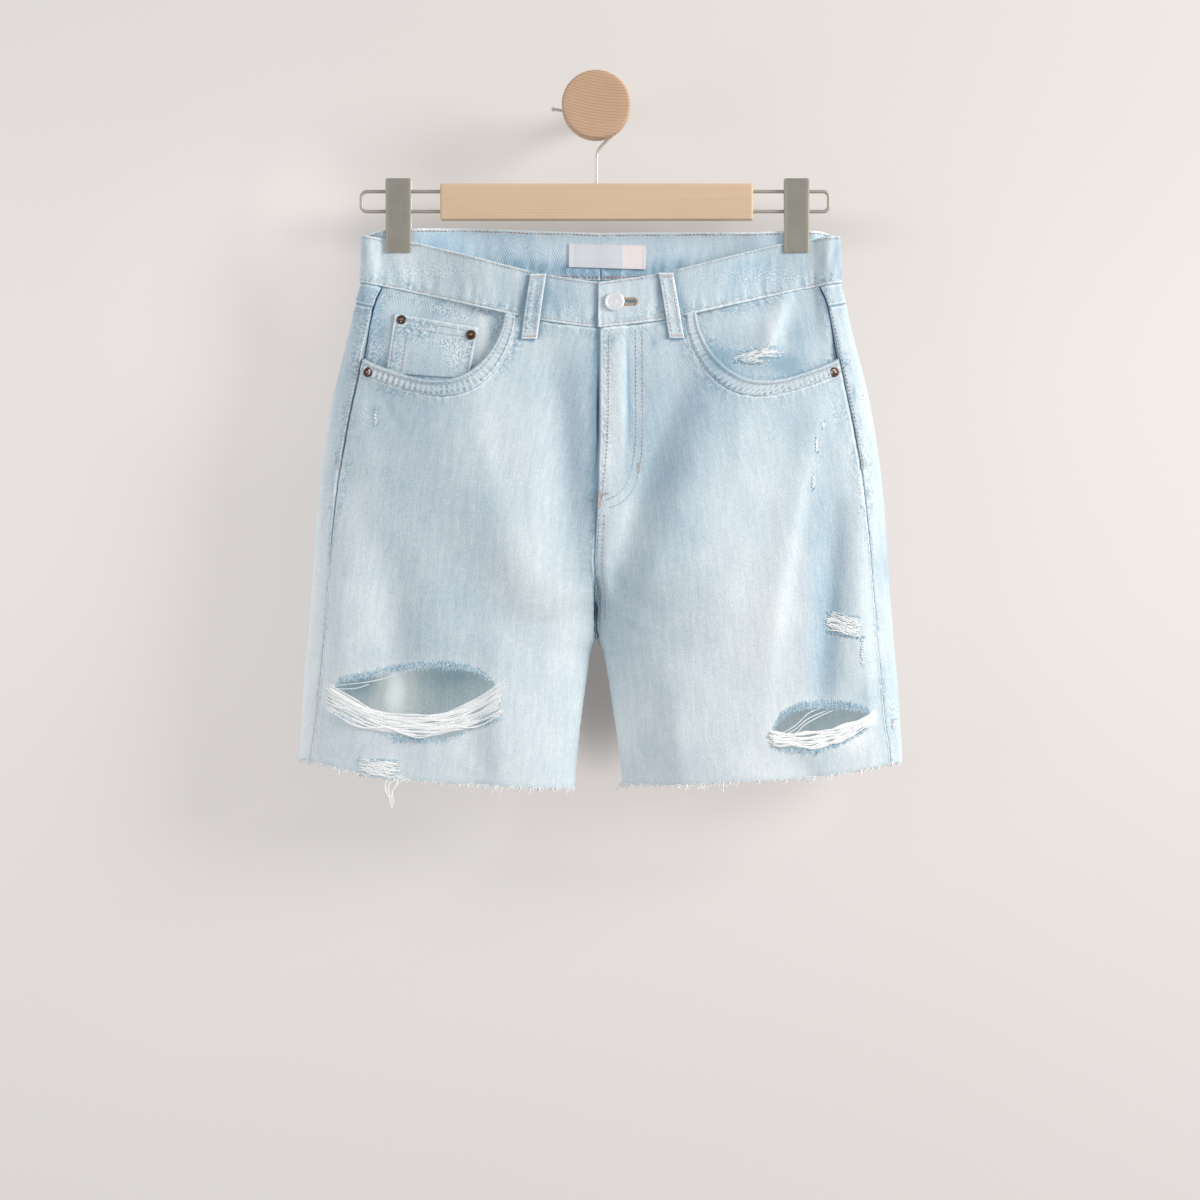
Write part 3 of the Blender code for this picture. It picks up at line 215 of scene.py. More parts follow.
# Where the wash took more dye out of the denim (above 0) or less: across, drop, their reaches, and amount.
# In front the table also holds painted light and shade: the shadow left of the fly's edge, shade on the
# band's far end and on the slopes of folds, light on the right leg's outer side turned from the key lamp
# and shade on the left leg's outer side, which faces it.
FRONT_WASH_AND_SHADE = {
    RIGHT: (
        (46, 330, 30, 100, 0.1), (60, 420, 30, 60, 0.22), (26, 452, 17, 52, 0.24),
        (184, 448, 18, 40, 0.17), (121, 362, 18, 40, 0.1), (75, 555, 40, 30, 0.09),
        (26, 556, 12, 30, -0.1), (92, 270, 26, 50, 0.18), (26, 300, 12, 100, -0.08),
        (110, 400, 36, 90, -0.08), (246, 270, 14, 80, 0.2), (120, 575, 120, 40, 0.12),
        (150, 300, 70, 60, -0.06), (78, 225, 22, 40, -0.1), (222, 300, 16, 110, -0.12),
        (262, 440, 22, 210, 0.5), (214, 470, 26, 90, 0.26), (218, 340, 16, 90, 0.16),
        (6, 268, 5, 84, -0.35), (2.8, 262, 1.9, 74, -1.5), (201, 168, 15, 20, -0.28),
        (36, 168, 12, 16, -0.15), (18, 300, 22, 120, -0.18), (44, 168, 34, 22, -0.24),
        (194, 198, 6, 13, -0.36), (191, 219, 6, 8, -0.28), (145, 181, 14, 5, -0.26),
        (102.5, 199, 5, 22, 0.3), (93, 200, 4, 9, -0.24),
    ),
    LEFT: (
        (42, 365, 20, 45, 0.18), (104, 490, 58, 100, 0.12), (134, 362, 14, 26, -0.15),
        (197, 340, 20, 70, -0.13), (250, 548, 13, 40, -0.08), (146, 460, 42, 140, 0.24),
        (166, 272, 20, 30, -0.2), (230, 420, 13, 110, 0.12), (23.9, 255, 1.7, 56, -0.75),
        (20, 262, 4, 60, -0.06), (10, 206, 3, 5, -0.5), (46, 207, 4, 6, -0.3),
        (229.5, 314, 1.6, 6, -0.8), (221.5, 252, 1.8, 8, -0.5), (233.5, 339, 1.6, 5, -0.6),
        (262, 340, 16, 110, -0.3), (209, 130, 5, 26, -0.42), (222, 553, 14, 10, 0.35),
        (229, 520, 8, 14, -0.35), (137, 219, 26, 8, -0.22), (84, 270, 40, 60, -0.29),
        (62, 352, 24, 60, -0.18), (195, 470, 15, 100, -0.44), (120, 572, 130, 42, 0.12),
        (120, 215, 30, 30, -0.14), (226, 290, 16, 110, 0.05), (40, 300, 16, 90, -0.2),
        (10, 262, 9, 74, 0.36), (14, 430, 26, 40, -0.08), (158, 190, 9, 26, 0.2),
        (140, 142, 52, 24, -0.4), (196, 136, 16, 22, 0.16), (20, 540, 18, 60, 0.22),
        (171, 202, 18, 22, -0.38), (149, 196, 6, 20, 0.3), (160, 226, 17, 8, -0.46),
        (105, 221, 11, 9, -0.36),
    ),
}  # fmt: skip
BACK_WASH = ((120, 300, 90, 110, 0.16), (120, 540, 110, 70, 0.1))  # on both sides

INSIDE_LIGHT_AND_SHADE = {  # painted light and shade on the inner faces behind: a bright band and dark corners inside the right rip, shade and lighter spots along the back band
    RIGHT: (
        (184, 512, 16, 34, 1.35), (213, 506, 20, 12, -0.7), (130, 499, 40, 9, -0.35),
        (138, 505, 26, 24, -0.22), (40, 140, 60, 7, -0.3), (140, 120, 26, 16, -0.4),
        (72, 134, 9, 6, -0.25), (36, 122, 16, 12, 0.1),
    ),
    LEFT: (
        (195, 528, 24, 16, -0.3), (20, 141, 60, 7, -0.3), (69, 134, 9, 6, -0.25),
        (113, 120, 14, 10, 0.25),
    ),
}  # fmt: skip

RUBBED = {  # places in front rubbed through to white yarns between blue specks
    RIGHT: (
        (127, 218, 9, 14, 1), (138, 207, 12, 4, 0.9), (136, 176, 14, 6, 0.9), (122, 184, 12, 4, 0.6),
        (196, 214, 6, 13, 0.9), (178, 226, 3, 12, 0.7), (206, 268, 5, 10, 0.6), (28, 176, 20, 10, 0.3),
        (150, 144, 50, 9, 0.5),
    ),
    LEFT: (
        (137, 212, 22, 5, 0.9), (134, 224, 20, 5, 0.8), (229, 330, 6, 40, 0.6), (232, 252, 5, 16, 0.9),
        (204, 270, 4, 16, 0.5), (190, 300, 3, 26, 0.4), (256, 529, 4, 7, 0.9), (224, 452, 5, 9, 0.5),
        (40, 178, 26, 8, 0.35), (140, 148, 50, 8, 0.55),
    ),
}  # fmt: skip


# ---- curves and the shorts' surface
def smooth(knots, values, at):
    """Monotone cubic through the knots, which never overshoots them, and level beyond both ends."""
    gaps = np.diff(knots)
    slopes = np.diff(values) / gaps
    before, after = slopes[:-1], slopes[1:]
    same = before * after > 0
    tangents = np.concatenate([slopes[:1], np.zeros(len(values) - 2), slopes[-1:]])
    tangents[1:-1][same] = 2 * before[same] * after[same] / (before[same] + after[same])
    at = np.clip(at, knots[0], knots[-1])
    i = np.clip(np.searchsorted(knots, at, side="right") - 1, 0, len(gaps) - 1)
    t = (at - knots[i]) / gaps[i]
    start = values[i] * (1 + 2 * t) + gaps[i] * tangents[i] * t
    end = values[i + 1] * (3 - 2 * t) - gaps[i] * tangents[i + 1] * (1 - t)
    return start * (1 - t) ** 2 + end * t**2


def ease(low, high, at):
    """0 below low, 1 above high, and 3t^2 - 2t^3 between."""
    t = np.clip((at - low) / (high - low), 0, 1)
    return t * t * (3 - 2 * t)


def bell(away, width):
    """exp(-(away / width)^2)."""
    return np.exp(-((away / width) ** 2))


def read(rows, column, at):
    """A column of a table at a place along its first column."""
    return smooth(next(iter(rows.values())), rows[column], at)


def body_at(column, drop):
    return read(BODY, column, drop)


def waist_at(column, across):
    return read(WAIST, column, np.abs(across))


def back_top(side, across):
    """Drop of the band's upper edge behind, a little uneven between the clips."""
    return waist_at("back_top", across) - read(BACK_RISE, WORD[side], np.abs(across))


def hem_at(side, across):
    return read(HEM, WORD[side], across)


def leg_tube(drop):
    """Centre and half width of one leg's tube. Above the crotch it reaches past the centre line."""
    outer, inner = body_at("outer", drop), body_at("inner", drop)
    return (outer + inner) / 2, (outer - inner) / 2


def pinched(x, drop):
    """1 where a clip presses front and back together, fading to 0 round it."""
    held = 0
    for clip_x in (CLIP_RIGHT_X, CLIP_LEFT_X):
        reach = np.where(np.abs(x) > abs(clip_x), 15, 62)
        held = held + 1 - ease(0, 1, (np.abs(x - clip_x) - CLIP_WIDTH / 2 - CLIP_CLEAR) / reach)
    return held * (1 - ease(CLIP_LOW_DROP + 2, CLIP_LOW_DROP + 95, drop))


def fold_height(folds, across, drop):
    """Sum over the folds of 1.1 * height * exp(-(distance from the bowed middle line / width)^2) * sin(pi *
    share of its length), with a width for either side."""
    total = np.zeros(np.broadcast(across, drop).shape)
    for a_up, d_up, a_mid, d_mid, a_low, d_low, inner, outer, height in folds:
        bow = a_mid - np.interp(d_mid, (d_up, d_low), (a_up, a_low))
        along = np.clip((drop - d_up) / (d_low - d_up), 0, 1)
        middle = a_up + (a_low - a_up) * along + bow * 4 * along * (1 - along)
        lean = math.hypot(1, (a_low - a_up) / (d_low - d_up))
        away = across - middle
        width = np.where(away < 0, inner, outer) * lean
        total = total + 1.1 * height * bell(away, width) * np.sin(math.pi * along)
    return total


def body(side, turn, drop):
    """x = centre - half width * cos(turn) and depth = front or back depth * |sin(turn)|^bluntness, pressed
    together at the clips, plus the folds. turn is 0 at the leg's inner side and a quarter turn in front."""
    across = across_of(turn, drop)
    stray = read(DRIFT, "stray", drop) * (1 - ease(10, 110, across))
    x = SHORTS_X + side * across - stray
    in_front = np.sin(turn) >= 0
    swell = np.abs(np.sin(turn))
    depth = np.where(in_front, body_at("front", drop), body_at("back", drop))
    depth = depth * swell ** body_at("blunt", drop)
    held = pinched(x, drop)
    depth = depth * (1 - held) + held * (BAND + SEAM - BAND_PROUD)
    front, back = (fold_height(folds[side], across, drop) for folds in (FRONT_FOLDS, BACK_FOLDS))
    depth = depth + np.where(in_front, front, back) * np.minimum(1, 1.6 * swell)
    return np.stack([x, HANG_Y - np.where(in_front, 1, -1) * depth, -drop + 0 * x], axis=-1)


def normals(side, turn, drop):
    """Outward normals: the cross product of the steps round and down."""
    round_it = body(side, turn + 1e-3, drop) - body(side, turn - 1e-3, drop)
    down = body(side, turn, drop + 0.5) - body(side, turn, drop - 0.5)
    normal = -side * np.cross(round_it, down)
    return normal / np.linalg.norm(normal, axis=-1, keepdims=True)


def shell(side, turn, drop, lift=0):
    """The surface moved out along its normal by lift."""
    turn, drop, lift = np.broadcast_arrays(turn, drop, lift)
    return body(side, turn, drop) + normals(side, turn, drop) * lift[..., None]


def front_turn(across, drop):
    centre, half = leg_tube(drop)
    return np.arccos(np.clip((centre - across) / half, -1, 1))


def back_turn(across, drop):
    return 2 * math.pi - front_turn(across, drop)


def seam_across(drop):
    """The side seam lies in front, a little in from the outline."""
    return body_at("outer", drop) - body_at("seam", drop)


def seam_turn(drop):
    return front_turn(seam_across(drop), drop)


def across_of(turn, drop):
    centre, half = leg_tube(drop)
    return centre - half * np.cos(turn)


def settle(edge, turn_of, start):
    """Drop at which a line of constant share meets an edge, by repeated substitution."""
    drop = start
    for _ in range(7):
        drop = edge(across_of(turn_of(drop), drop), turn_of(drop))
    return drop


def bells(rows, turn, drop):
    """Sum over the rows of amount * exp(-(across / reach)^2 - (down / reach)^2) about their middles."""
    across, total = across_of(turn, drop), 0
    for a, d, reach_a, reach_d, amount in rows:
        total = total + amount * np.exp(-(((across - a) / reach_a) ** 2) - ((drop - d) / reach_d) ** 2)
    return total


def fade_and_shade_at(side, turn, drop):
    """How washed out the dye is, with painted light and shade, 0 to 1: a base value plus the bells of the
    front's wash-and-shade table or the back's wash.
    """
    in_front = np.sin(turn) >= 0
    fade_and_shade = 0.50 + bells(FRONT_WASH_AND_SHADE[side], turn, drop) * in_front
    return fade_and_shade + bells(BACK_WASH, turn, drop) * ~in_front


def rub_at(side, turn, drop):
    """How rubbed the surface is, 0 to 1: the bells of the RUBBED table."""
    return bells(RUBBED[side], turn, drop) * (np.sin(turn) >= 0)


# ---- meshes
def outwards(points, faces):
    """The faces turned outwards, by the sum of a . (b x c) / 6 with each face fanned from a corner."""
    volume = 0
    for block in faces:
        for k in range(1, block.shape[1] - 1):
            a, b, c = points[block[:, 0]], points[block[:, k]], points[block[:, k + 1]]
            volume += np.einsum("ij,ij->", a, np.cross(b, c)) / 6
    return [block[:, ::-1] for block in faces] if volume < 0 else faces


def piece(name, points, faces, finishes, maps=None, slots=None, sharp=50):
    """A mesh object from points in millimetres and blocks of faces with the same number of corners."""
    points = np.asarray(points, float)
    faces = outwards(points, [np.asarray(block, int) for block in faces if len(block)])
    mesh = bpy.data.meshes.new(name)
    mesh.from_pydata((points * MM).tolist(), [], [face for block in faces for face in block.tolist()])
    for finish in finishes:
        mesh.materials.append(finish)
    if slots is not None:
        mesh.polygons.foreach_set("material_index", np.asarray(slots, np.int32))
    corner = np.empty(len(mesh.loops), np.int32)
    mesh.loops.foreach_get("vertex_index", corner)
    for map_name, values in (maps or {}).items():
        layer = mesh.uv_layers.new(name=map_name)
        layer.data.foreach_set("uv", values[corner].astype(np.float32).reshape(-1))
    mesh.shade_smooth()
    mesh.set_sharp_from_angle(angle=math.radians(sharp))
    made = bpy.data.objects.new(name, mesh)
    bpy.context.scene.collection.objects.link(made)
    return made


def finished(made, slot_name, *nodes):
    """The piece rides on the part and stands for its nodes. Its slot name is not used."""
    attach(made, "root")
    if nodes:
        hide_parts(*nodes)


def grid_faces(rows, columns, closed=False):
    """Quads of a grid of points, row by row. Closed joins the last column to the first."""
    index = np.arange(rows * columns).reshape(rows, columns)
    if closed:
        index = np.concatenate([index, index[:, :1]], axis=1)
    corners = (index[:-1, :-1], index[:-1, 1:], index[1:, 1:], index[1:, :-1])
    return np.stack(corners, axis=-1).reshape(-1, 4)


def arc_length(points, axis):
    """Running length along one axis of a grid of points, from 0."""
    steps = np.linalg.norm(np.diff(points, axis=axis), axis=-1)
    return np.insert(np.cumsum(steps, axis=axis), 0, 0, axis=axis)


def caps(count, rings, first=0):
    """The end faces of a tube of rings: the first one turned round, and the last one."""
    ends = np.arange(count)[None, ::-1] + first
    return [ends, ends[:, ::-1] + (rings - 1) * count]


def tubes(paths, radii, sides):
    """Round tubes along paths of equal count: each ring is path + radius * (cos * out + sin * beside)."""
    paths = np.asarray(paths, float)
    count, length = paths.shape[:2]
    radii = np.broadcast_to(radii, (count, length))
    forward = np.gradient(paths, axis=1)
    forward /= np.linalg.norm(forward, axis=-1, keepdims=True)
    beside = np.cross(forward, (0, -1, 0))
    beside /= np.maximum(np.linalg.norm(beside, axis=-1, keepdims=True), 1e-9)
    out = np.cross(beside, forward)
    angles = np.arange(sides) * 2 * math.pi / sides
    circle = np.cos(angles)[:, None] * out[:, :, None, :] + np.sin(angles)[:, None] * beside[:, :, None, :]
    points = paths[:, :, None, :] + radii[:, :, None, None] * circle
    starts = np.arange(count)[:, None, None] * length * sides
    walls = (grid_faces(length, sides, closed=True) + starts).reshape(-1, 4)
    return points.reshape(-1, 3), [walls, *caps(sides, length, starts[:, 0])]


def joined(parts):
    """Several (points, faces) as one, with the faces kept in blocks by their number of corners."""
    points, blocks, first = [], {}, 0
    for some_points, faces in parts:
        points.append(some_points)
        for block in faces:
            blocks.setdefault(block.shape[1], []).append(block + first)
        first += len(some_points)
    return np.concatenate(points), [np.concatenate(block) for block in blocks.values()]


def turned(profile, seat, axis, steps):
    """A solid of revolution: rings of (radius, height) about an axis from the seat, closed at radius 0."""
    axis = np.asarray(axis, float) / np.linalg.norm(axis)
    across = np.cross(axis, (0, 0, 1) if abs(axis[2]) < 0.9 else (1, 0, 0))
    across /= np.linalg.norm(across)
    third = np.cross(axis, across)
    profile = np.asarray(profile, float)
    angles = np.arange(steps) * 2 * math.pi / steps
    circle = np.cos(angles)[:, None] * across + np.sin(angles)[:, None] * third
    rings = profile[1:-1, 0, None, None] * circle + profile[1:-1, 1, None, None] * axis
    poles = profile[[0, -1], 1, None] * axis
    points = np.concatenate([rings.reshape(-1, 3), poles]) + np.asarray(seat, float)
    count = len(profile) - 2
    walls = grid_faces(count, steps, closed=True)
    here = np.arange(steps)
    after = np.roll(here, -1)
    first, last = np.full(steps, count * steps), np.full(steps, count * steps + 1)
    fan = np.stack([first, after, here], axis=1)
    end = (count - 1) * steps
    return points, [walls, fan, np.stack([last, here + end, after + end], axis=1)]


def arc(centre, radius, start, end, count):
    """Points (first, second) of an arc, in degrees counted from the first direction towards the second."""
    angles = np.radians(np.linspace(start, end, count))
    return [(centre[0] + radius * math.cos(a), centre[1] + radius * math.sin(a)) for a in angles]


# ---- shader nodes
def srgb(red, green, blue):
    """A colour given as 0 to 255 display values, as linear light."""
    values = np.array([red, green, blue]) / 255
    linear = np.where(values <= 0.04045, values / 12.92, ((values + 0.055) / 1.055) ** 2.4)
    return (*linear.tolist(), 1)


def fill(node, **inputs):
    """Sets a shader node's inputs, named by their sockets with _ for a space, or i0, i1 by position."""
    for key, value in inputs.items():
        by_position = key[0] == "i" and key[1:].isdigit()
        socket = node.inputs[int(key[1:]) if by_position else key.replace("_", " ")]
        if isinstance(value, bpy.types.NodeSocket):
            node.id_data.links.new(value, socket)
        else:
            socket.default_value = value
    return node


def add(tree, kind, settings=None, **inputs):
    """A new shader node of a kind, with its settings and inputs."""
    made = tree.nodes.new("ShaderNode" + kind)
    for key, value in (settings or {}).items():
        setattr(made, key, value)
    return fill(made, **inputs)


def maths(operation, **values):
    tree = next(value.id_data for value in values.values() if isinstance(value, bpy.types.NodeSocket))
    return add(tree, "Math", {"operation": operation}, **values).outputs[0]


def sum_of(*terms):
    total = terms[0]
    for term in terms[1:]:
        total = maths("ADD", i0=total, i1=term)
    return total


def times(first, second):
    return maths("MULTIPLY", i0=first, i1=second)


def ramp(value, low, high, to_low=0, to_high=1):
    """Smooth step of a value from low..high to to_low..to_high."""
    settings = {"interpolation_type": "SMOOTHSTEP"}
    made = add(value.id_data, "MapRange", settings, i0=value, i1=low, i2=high, i3=to_low, i4=to_high)
    return made.outputs[0]


def noise(vector, scale, detail=2, roughness=0.5):
    inputs = {"Vector": vector, "Scale": scale, "Detail": detail, "Roughness": roughness}
    return add(vector.id_data, "TexNoise", None, **inputs).outputs["Fac"]


def scaled(vector, by, turned_by=0):
    """A vector stretched along its axes, after a turn about the third one."""
    inputs = {"Vector": vector, "Scale": by, "Rotation": (0, 0, turned_by)}
    return add(vector.id_data, "Mapping", None, **inputs).outputs[0]


def stretched(vector, by, detail, roughness=0.5, turned_by=0):
    """Noise over a stretched vector."""
    return noise(scaled(vector, by, turned_by), 1, detail, roughness)


def place_of(tree):
    return add(tree, "TexCoord").outputs["Object"]


def uv_map(tree, name):
    return add(tree, "UVMap", {"uv_map": name}).outputs[0]


def split(vector):
    """A vector's sockets X, Y and Z."""
    return add(vector.id_data, "SeparateXYZ", None, Vector=vector).outputs


def mixed(share, first, second):
    settings = {"data_type": "RGBA", "clamp_factor": True}
    return add(share.id_data, "Mix", settings, i0=share, i6=first, i7=second).outputs[2]


def new_group(name, inputs, outputs):
    """An empty node group with the named sockets. Its tree, its inputs and its output node."""
    tree = bpy.data.node_groups.new(name, "ShaderNodeTree")
    for way, sockets in (("INPUT", inputs), ("OUTPUT", outputs)):
        for socket, kind in sockets.items():
            tree.interface.new_socket(socket, in_out=way, socket_type="NodeSocket" + kind)
    return tree, tree.nodes.new("NodeGroupInput").outputs, tree.nodes.new("NodeGroupOutput")


def use(tree, group, **inputs):
    return add(tree, "Group", {"node_tree": group}, **inputs).outputs


def twill_group():
    """Twill: diagonal ribs, warp streaks and weft slubs over a cloth map in metres. Grain is the light and
    dark of single yarns about 0.5, and Height their relief."""
    tree, given, out = new_group("twill", {"Cloth": "Vector"}, {"Grain": "Float", "Height": "Float"})
    cloth = given["Cloth"]
    slant = scaled(cloth, (1, 1, 1), math.radians(32))
    wave = {"Vector": slant, "Scale": 170, "Distortion": 1.2, "Detail": 1}
    rib = add(tree, "TexWave", {"bands_direction": "X"}, **wave).outputs["Fac"]
    warp = stretched(cloth, (1400, 70, 1), 2)
    weft = stretched(cloth, (110, 1200, 1), 1)
    fleck = stretched(cloth, (520, 260, 1), 3, 0.65)
    grain = sum_of(times(warp, 0.42), times(weft, 0.22), times(fleck, 0.36))
    height = sum_of(times(rib, 0.5), times(warp, 0.35), times(fleck, 0.5))
    fill(out, Grain=grain, Height=height)
    return tree


def seam_group():
    """What stitching does to cloth by its distance from the seam in millimetres: a dark groove at the edge, a
    rubbed pale ridge beside it, blotches of undamaged dye, and puckers that fade out."""
    inputs = {"Cloth": "Vector", "Distance": "Float"}
    tree, given, out = new_group("seam_wear", inputs, {"Tone": "Float", "Height": "Float"})
    cloth, distance = given["Cloth"], given["Distance"]
    blotch = stretched(cloth, (300, 340, 1), 4, 0.65)
    roping = stretched(cloth, (190, 120, 1), 1, 0.5, 0.7)
    groove = times(ramp(distance, 0.3, 1.2, 1, 0), -0.75)
    inner = ramp(distance, 0.8, 2.2)
    ridge = times(times(inner, ramp(distance, 1.8, 3.6, 1, 0)), 0.34)
    beyond = times(ramp(distance, 1.5, 3.6), ramp(distance, 3.6, 16, 1, 0))
    patches = times(beyond, ramp(blotch, 0.34, 0.66, -0.42, 0.15))
    uneven = stretched(cloth, (26, 30, 1), 2)
    patches = times(patches, ramp(uneven, 0.40, 0.64, 0.05, 1.4))
    pucker = times(roping, ramp(distance, 3, 16, 1, 0))
    fill(out, Tone=sum_of(groove, ridge, patches), Height=pucker)
    return tree


def wood_group():
    """Growth rings seen from a far centre: bands by the distance from it, bent by noise, with fine pores."""
    inputs = {"Place": "Vector", "Rings": "Float"}
    tree, given, out = new_group("wood_rings", inputs, {"Band": "Float", "Pores": "Float"})
    place = given["Place"]
    bend = stretched(place, (9, 9, 30), 2)
    distance = add(tree, "VectorMath", {"operation": "LENGTH"}, i0=place).outputs["Value"]
    wavy = sum_of(times(distance, given["Rings"]), times(bend, 3.4))
    band = ramp(maths("SINE", i0=wavy), -1, 1)
    fill(out, Band=band, Pores=stretched(place, (90, 900, 1400), 2, 0.6))
    return tree


def new_material(name, **values):
    """A material with its shader and the shader's plain values."""
    made = bpy.data.materials.new(name)
    made.use_nodes = True
    return made, made.node_tree, fill(made.node_tree.nodes["Principled BSDF"], **values)


def bumped(shader, height, distance, strength):
    bump = add(height.id_data, "Bump", None, Height=height, Distance=distance, Strength=strength)
    fill(shader, Normal=bump.outputs["Normal"])


TWILL, SEAM_WEAR, WOOD = twill_group(), seam_group(), wood_group()


def denim(name, deep, pale, contrast=0.55, glow=0):
    """Washed denim: the fade, the seams' wear, clouds and single yarns together choose between the deep and
    the pale blue, and far below 0 the colour turns dark navy, which paints the deepest shade. Glow is painted
    light: a faint emission, stronger where the tone is highest."""
    sheen = {"Sheen_Weight": 0.12, "Sheen_Roughness": 0.5}
    made, tree, shader = new_material(name, Roughness=0.93, Specular_IOR_Level=0.22, **sheen)
    cloth, tone = uv_map(tree, "cloth"), split(uv_map(tree, "tone"))
    twill = use(tree, TWILL, Cloth=cloth)
    wear = use(tree, SEAM_WEAR, Cloth=cloth, Distance=tone["Y"])
    clouds = noise(place_of(tree), 16, 3)
    streaks = stretched(cloth, (210, 24, 1), 2)
    grain = times(sum_of(twill["Grain"], -0.5), contrast * 2.2)
    drift = times(sum_of(clouds, -0.5), 0.45)
    lines = times(sum_of(streaks, -0.5), 0.35)
    rubbed = split(uv_map(tree, "rub"))["X"]
    speck = stretched(cloth, (620, 560, 1), 5, 0.7)
    specks = times(rubbed, ramp(speck, 0.36, 0.62, -0.65, 0.70))
    share = sum_of(tone["X"], wear["Tone"], grain, drift, lines, specks)
    washed = mixed(share, srgb(*deep), srgb(*pale))
    # Painted shade: far below 0 the colour is a dark navy, for the fly's shadow, the crotch slit and the side
    # seam's ditch.
    colour = mixed(ramp(tone["X"], -1.2, -0.4), srgb(48, 66, 92), washed)
    fill(shader, Base_Color=colour)
    if glow:
        # Painted light: the emission grows where the tone is highest, as in the bright band inside the right
        # rip.
        lit = ramp(tone["X"], 1.1, 2, glow, glow + 0.3)
        fill(shader, Emission_Color=colour, Emission_Strength=lit)
    height = sum_of(times(twill["Height"], 0.3), times(wear["Height"], 1.6))
    bumped(shader, height, 0.0011, 0.8)
    return made


def yarn_finish(name, colour, other):
    """Loose or sewn cotton: two colours mixed by fine noise, fully rough."""
    made, tree, shader = new_material(name, Roughness=0.95, Specular_IOR_Level=0.2, Sheen_Weight=0.2)
    place = place_of(tree)
    fill(shader, Base_Color=mixed(noise(place, 420, 2), srgb(*colour), srgb(*other)))
    bumped(shader, noise(place, 1300, 1), 0.0004, 0.5)
    return made


def metal(name, colour, roughness, brushed, tarnish=0.25, glow=0):
    """Satin plated metal: brush marks along one axis, dark patches. The rim map's first value paints a pale
    highlight that glows, and its second dulls it. Glow is painted light as well.
    """
    made, tree, shader = new_material(name, Metallic=1)
    place = place_of(tree)
    marks = stretched(place, brushed, 3)
    dark = tuple(c * (1 - tarnish) for c in srgb(*colour)[:3]) + (1,)
    shade = sum_of(times(marks, 0.5), times(noise(place, 60, 3), 0.6))
    highlight_rims = split(uv_map(tree, "rim"))
    # Painted highlight: pale colour and glow where the rim map's first value is high.
    base = mixed(highlight_rims["X"], mixed(shade, dark, srgb(*colour)), srgb(224, 219, 208))
    lit = sum_of(times(highlight_rims["X"], 0.45), glow)
    rough = ramp(marks, 0.2, 0.8, roughness - 0.03, roughness + 0.05)
    rough = sum_of(rough, times(highlight_rims["Y"], 0.35))
    fill(shader, Base_Color=base, Emission_Color=base, Emission_Strength=lit, Roughness=rough)
    bumped(shader, marks, 0.0001, 0.12)
    return made


def wood(name, centre, stretch, rings, figure, pale, dark):
    """Oiled light wood with growth rings about a centre line. Figure is their contrast."""
    made, tree, shader = new_material(name, Roughness=0.55, Specular_IOR_Level=0.35)
    place = place_of(tree)
    middle = [c * MM for c in centre]
    moved = add(tree, "VectorMath", {"operation": "SUBTRACT"}, i0=place, i1=middle).outputs[0]
    grain = use(tree, WOOD, Place=scaled(moved, stretch), Rings=rings)
    share = sum_of(times(grain["Band"], figure), times(grain["Pores"], 0.4))
    share = sum_of(share, times(noise(place, 22, 2), 0.3), -0.15)
    fill(shader, Base_Color=mixed(share, srgb(*pale), srgb(*dark)))
    bumped(shader, grain["Pores"], 0.0003, 0.35)
    return made


def label_finish():
    """Woven satin, white, and pale pink beyond a straight line near one end."""
    made, tree, shader = new_material("label_satin", Roughness=0.6, Sheen_Weight=0.2)
    place = place_of(tree)
    pink = ramp(split(place)["X"], 0.0230, 0.0236)
    weave = stretched(place, (700, 1, 2600), 1)
    white = mixed(weave, srgb(212, 214, 219), srgb(230, 232, 235))
    blush = mixed(weave, srgb(244, 230, 226), srgb(252, 242, 239))
    fill(shader, Base_Color=mixed(pink, white, blush))
    bumped(shader, weave, 0.0003, 0.4)
    return made


DENIM = denim("washed_denim", (147, 173, 188), (232, 237, 237))
# The inside finish glows faintly: painted light on inner faces in shade.
DENIM_INSIDE = denim("denim_inside", (176, 198, 208), (244, 248, 246), 0.4, 0.11)
RAW_EDGE = yarn_finish("raw_edge", (214, 224, 230), (240, 243, 244))
WHITE_YARN = yarn_finish("white_yarn", (232, 234, 232), (250, 250, 248))
BLUE_YARN = yarn_finish("blue_yarn", (146, 192, 215), (214, 235, 243))
PALE_THREAD = yarn_finish("pale_thread", (150, 146, 148), (196, 190, 186))
BAND_THREAD = yarn_finish("band_thread", (182, 176, 174), (218, 214, 210))
TAN_THREAD = yarn_finish("tan_thread", (158, 138, 118), (196, 178, 158))
TACK_THREAD = yarn_finish("tack_thread", (184, 164, 152), (212, 200, 192))
RUST_THREAD = yarn_finish("rust_thread", (158, 112, 90), (196, 156, 134))
# A metal's sixth number is painted light: a glow that brightens the button and the wires.
COPPER = metal("antique_copper", (118, 86, 73), 0.40, (500, 500, 500), 0.5)
SILVER = metal("satin_silver", (242, 242, 242), 0.4, (260, 260, 260), 0.12, 0.22)
NICKEL = metal("satin_nickel", (188, 183, 169), 0.38, (60, 900, 60), 0.14)
WIRE = metal("bright_wire", (206, 201, 192), 0.42, (60, 900, 60), 0.12, 0.10)
LOOP_WIRE = metal("satin_wire", (188, 181, 170), 0.62, (60, 900, 60), 0.12, 0.05)
BAR_RINGS = (1.3, -20, -160), (0.06, 1, 1), 2900
PEG_RINGS = (24, -82, 150), (1, 0.05, 1), 2400
BAR_WOOD = wood("bar_wood", *BAR_RINGS, 0.13, (216, 190, 160), (188, 152, 117))
PEG_WOOD = wood("peg_wood", *PEG_RINGS, 0.36, (206, 173, 143), (160, 122, 93))
BAND_LINING = denim("band_lining", (148, 179, 200), (232, 243, 247), 0.6)
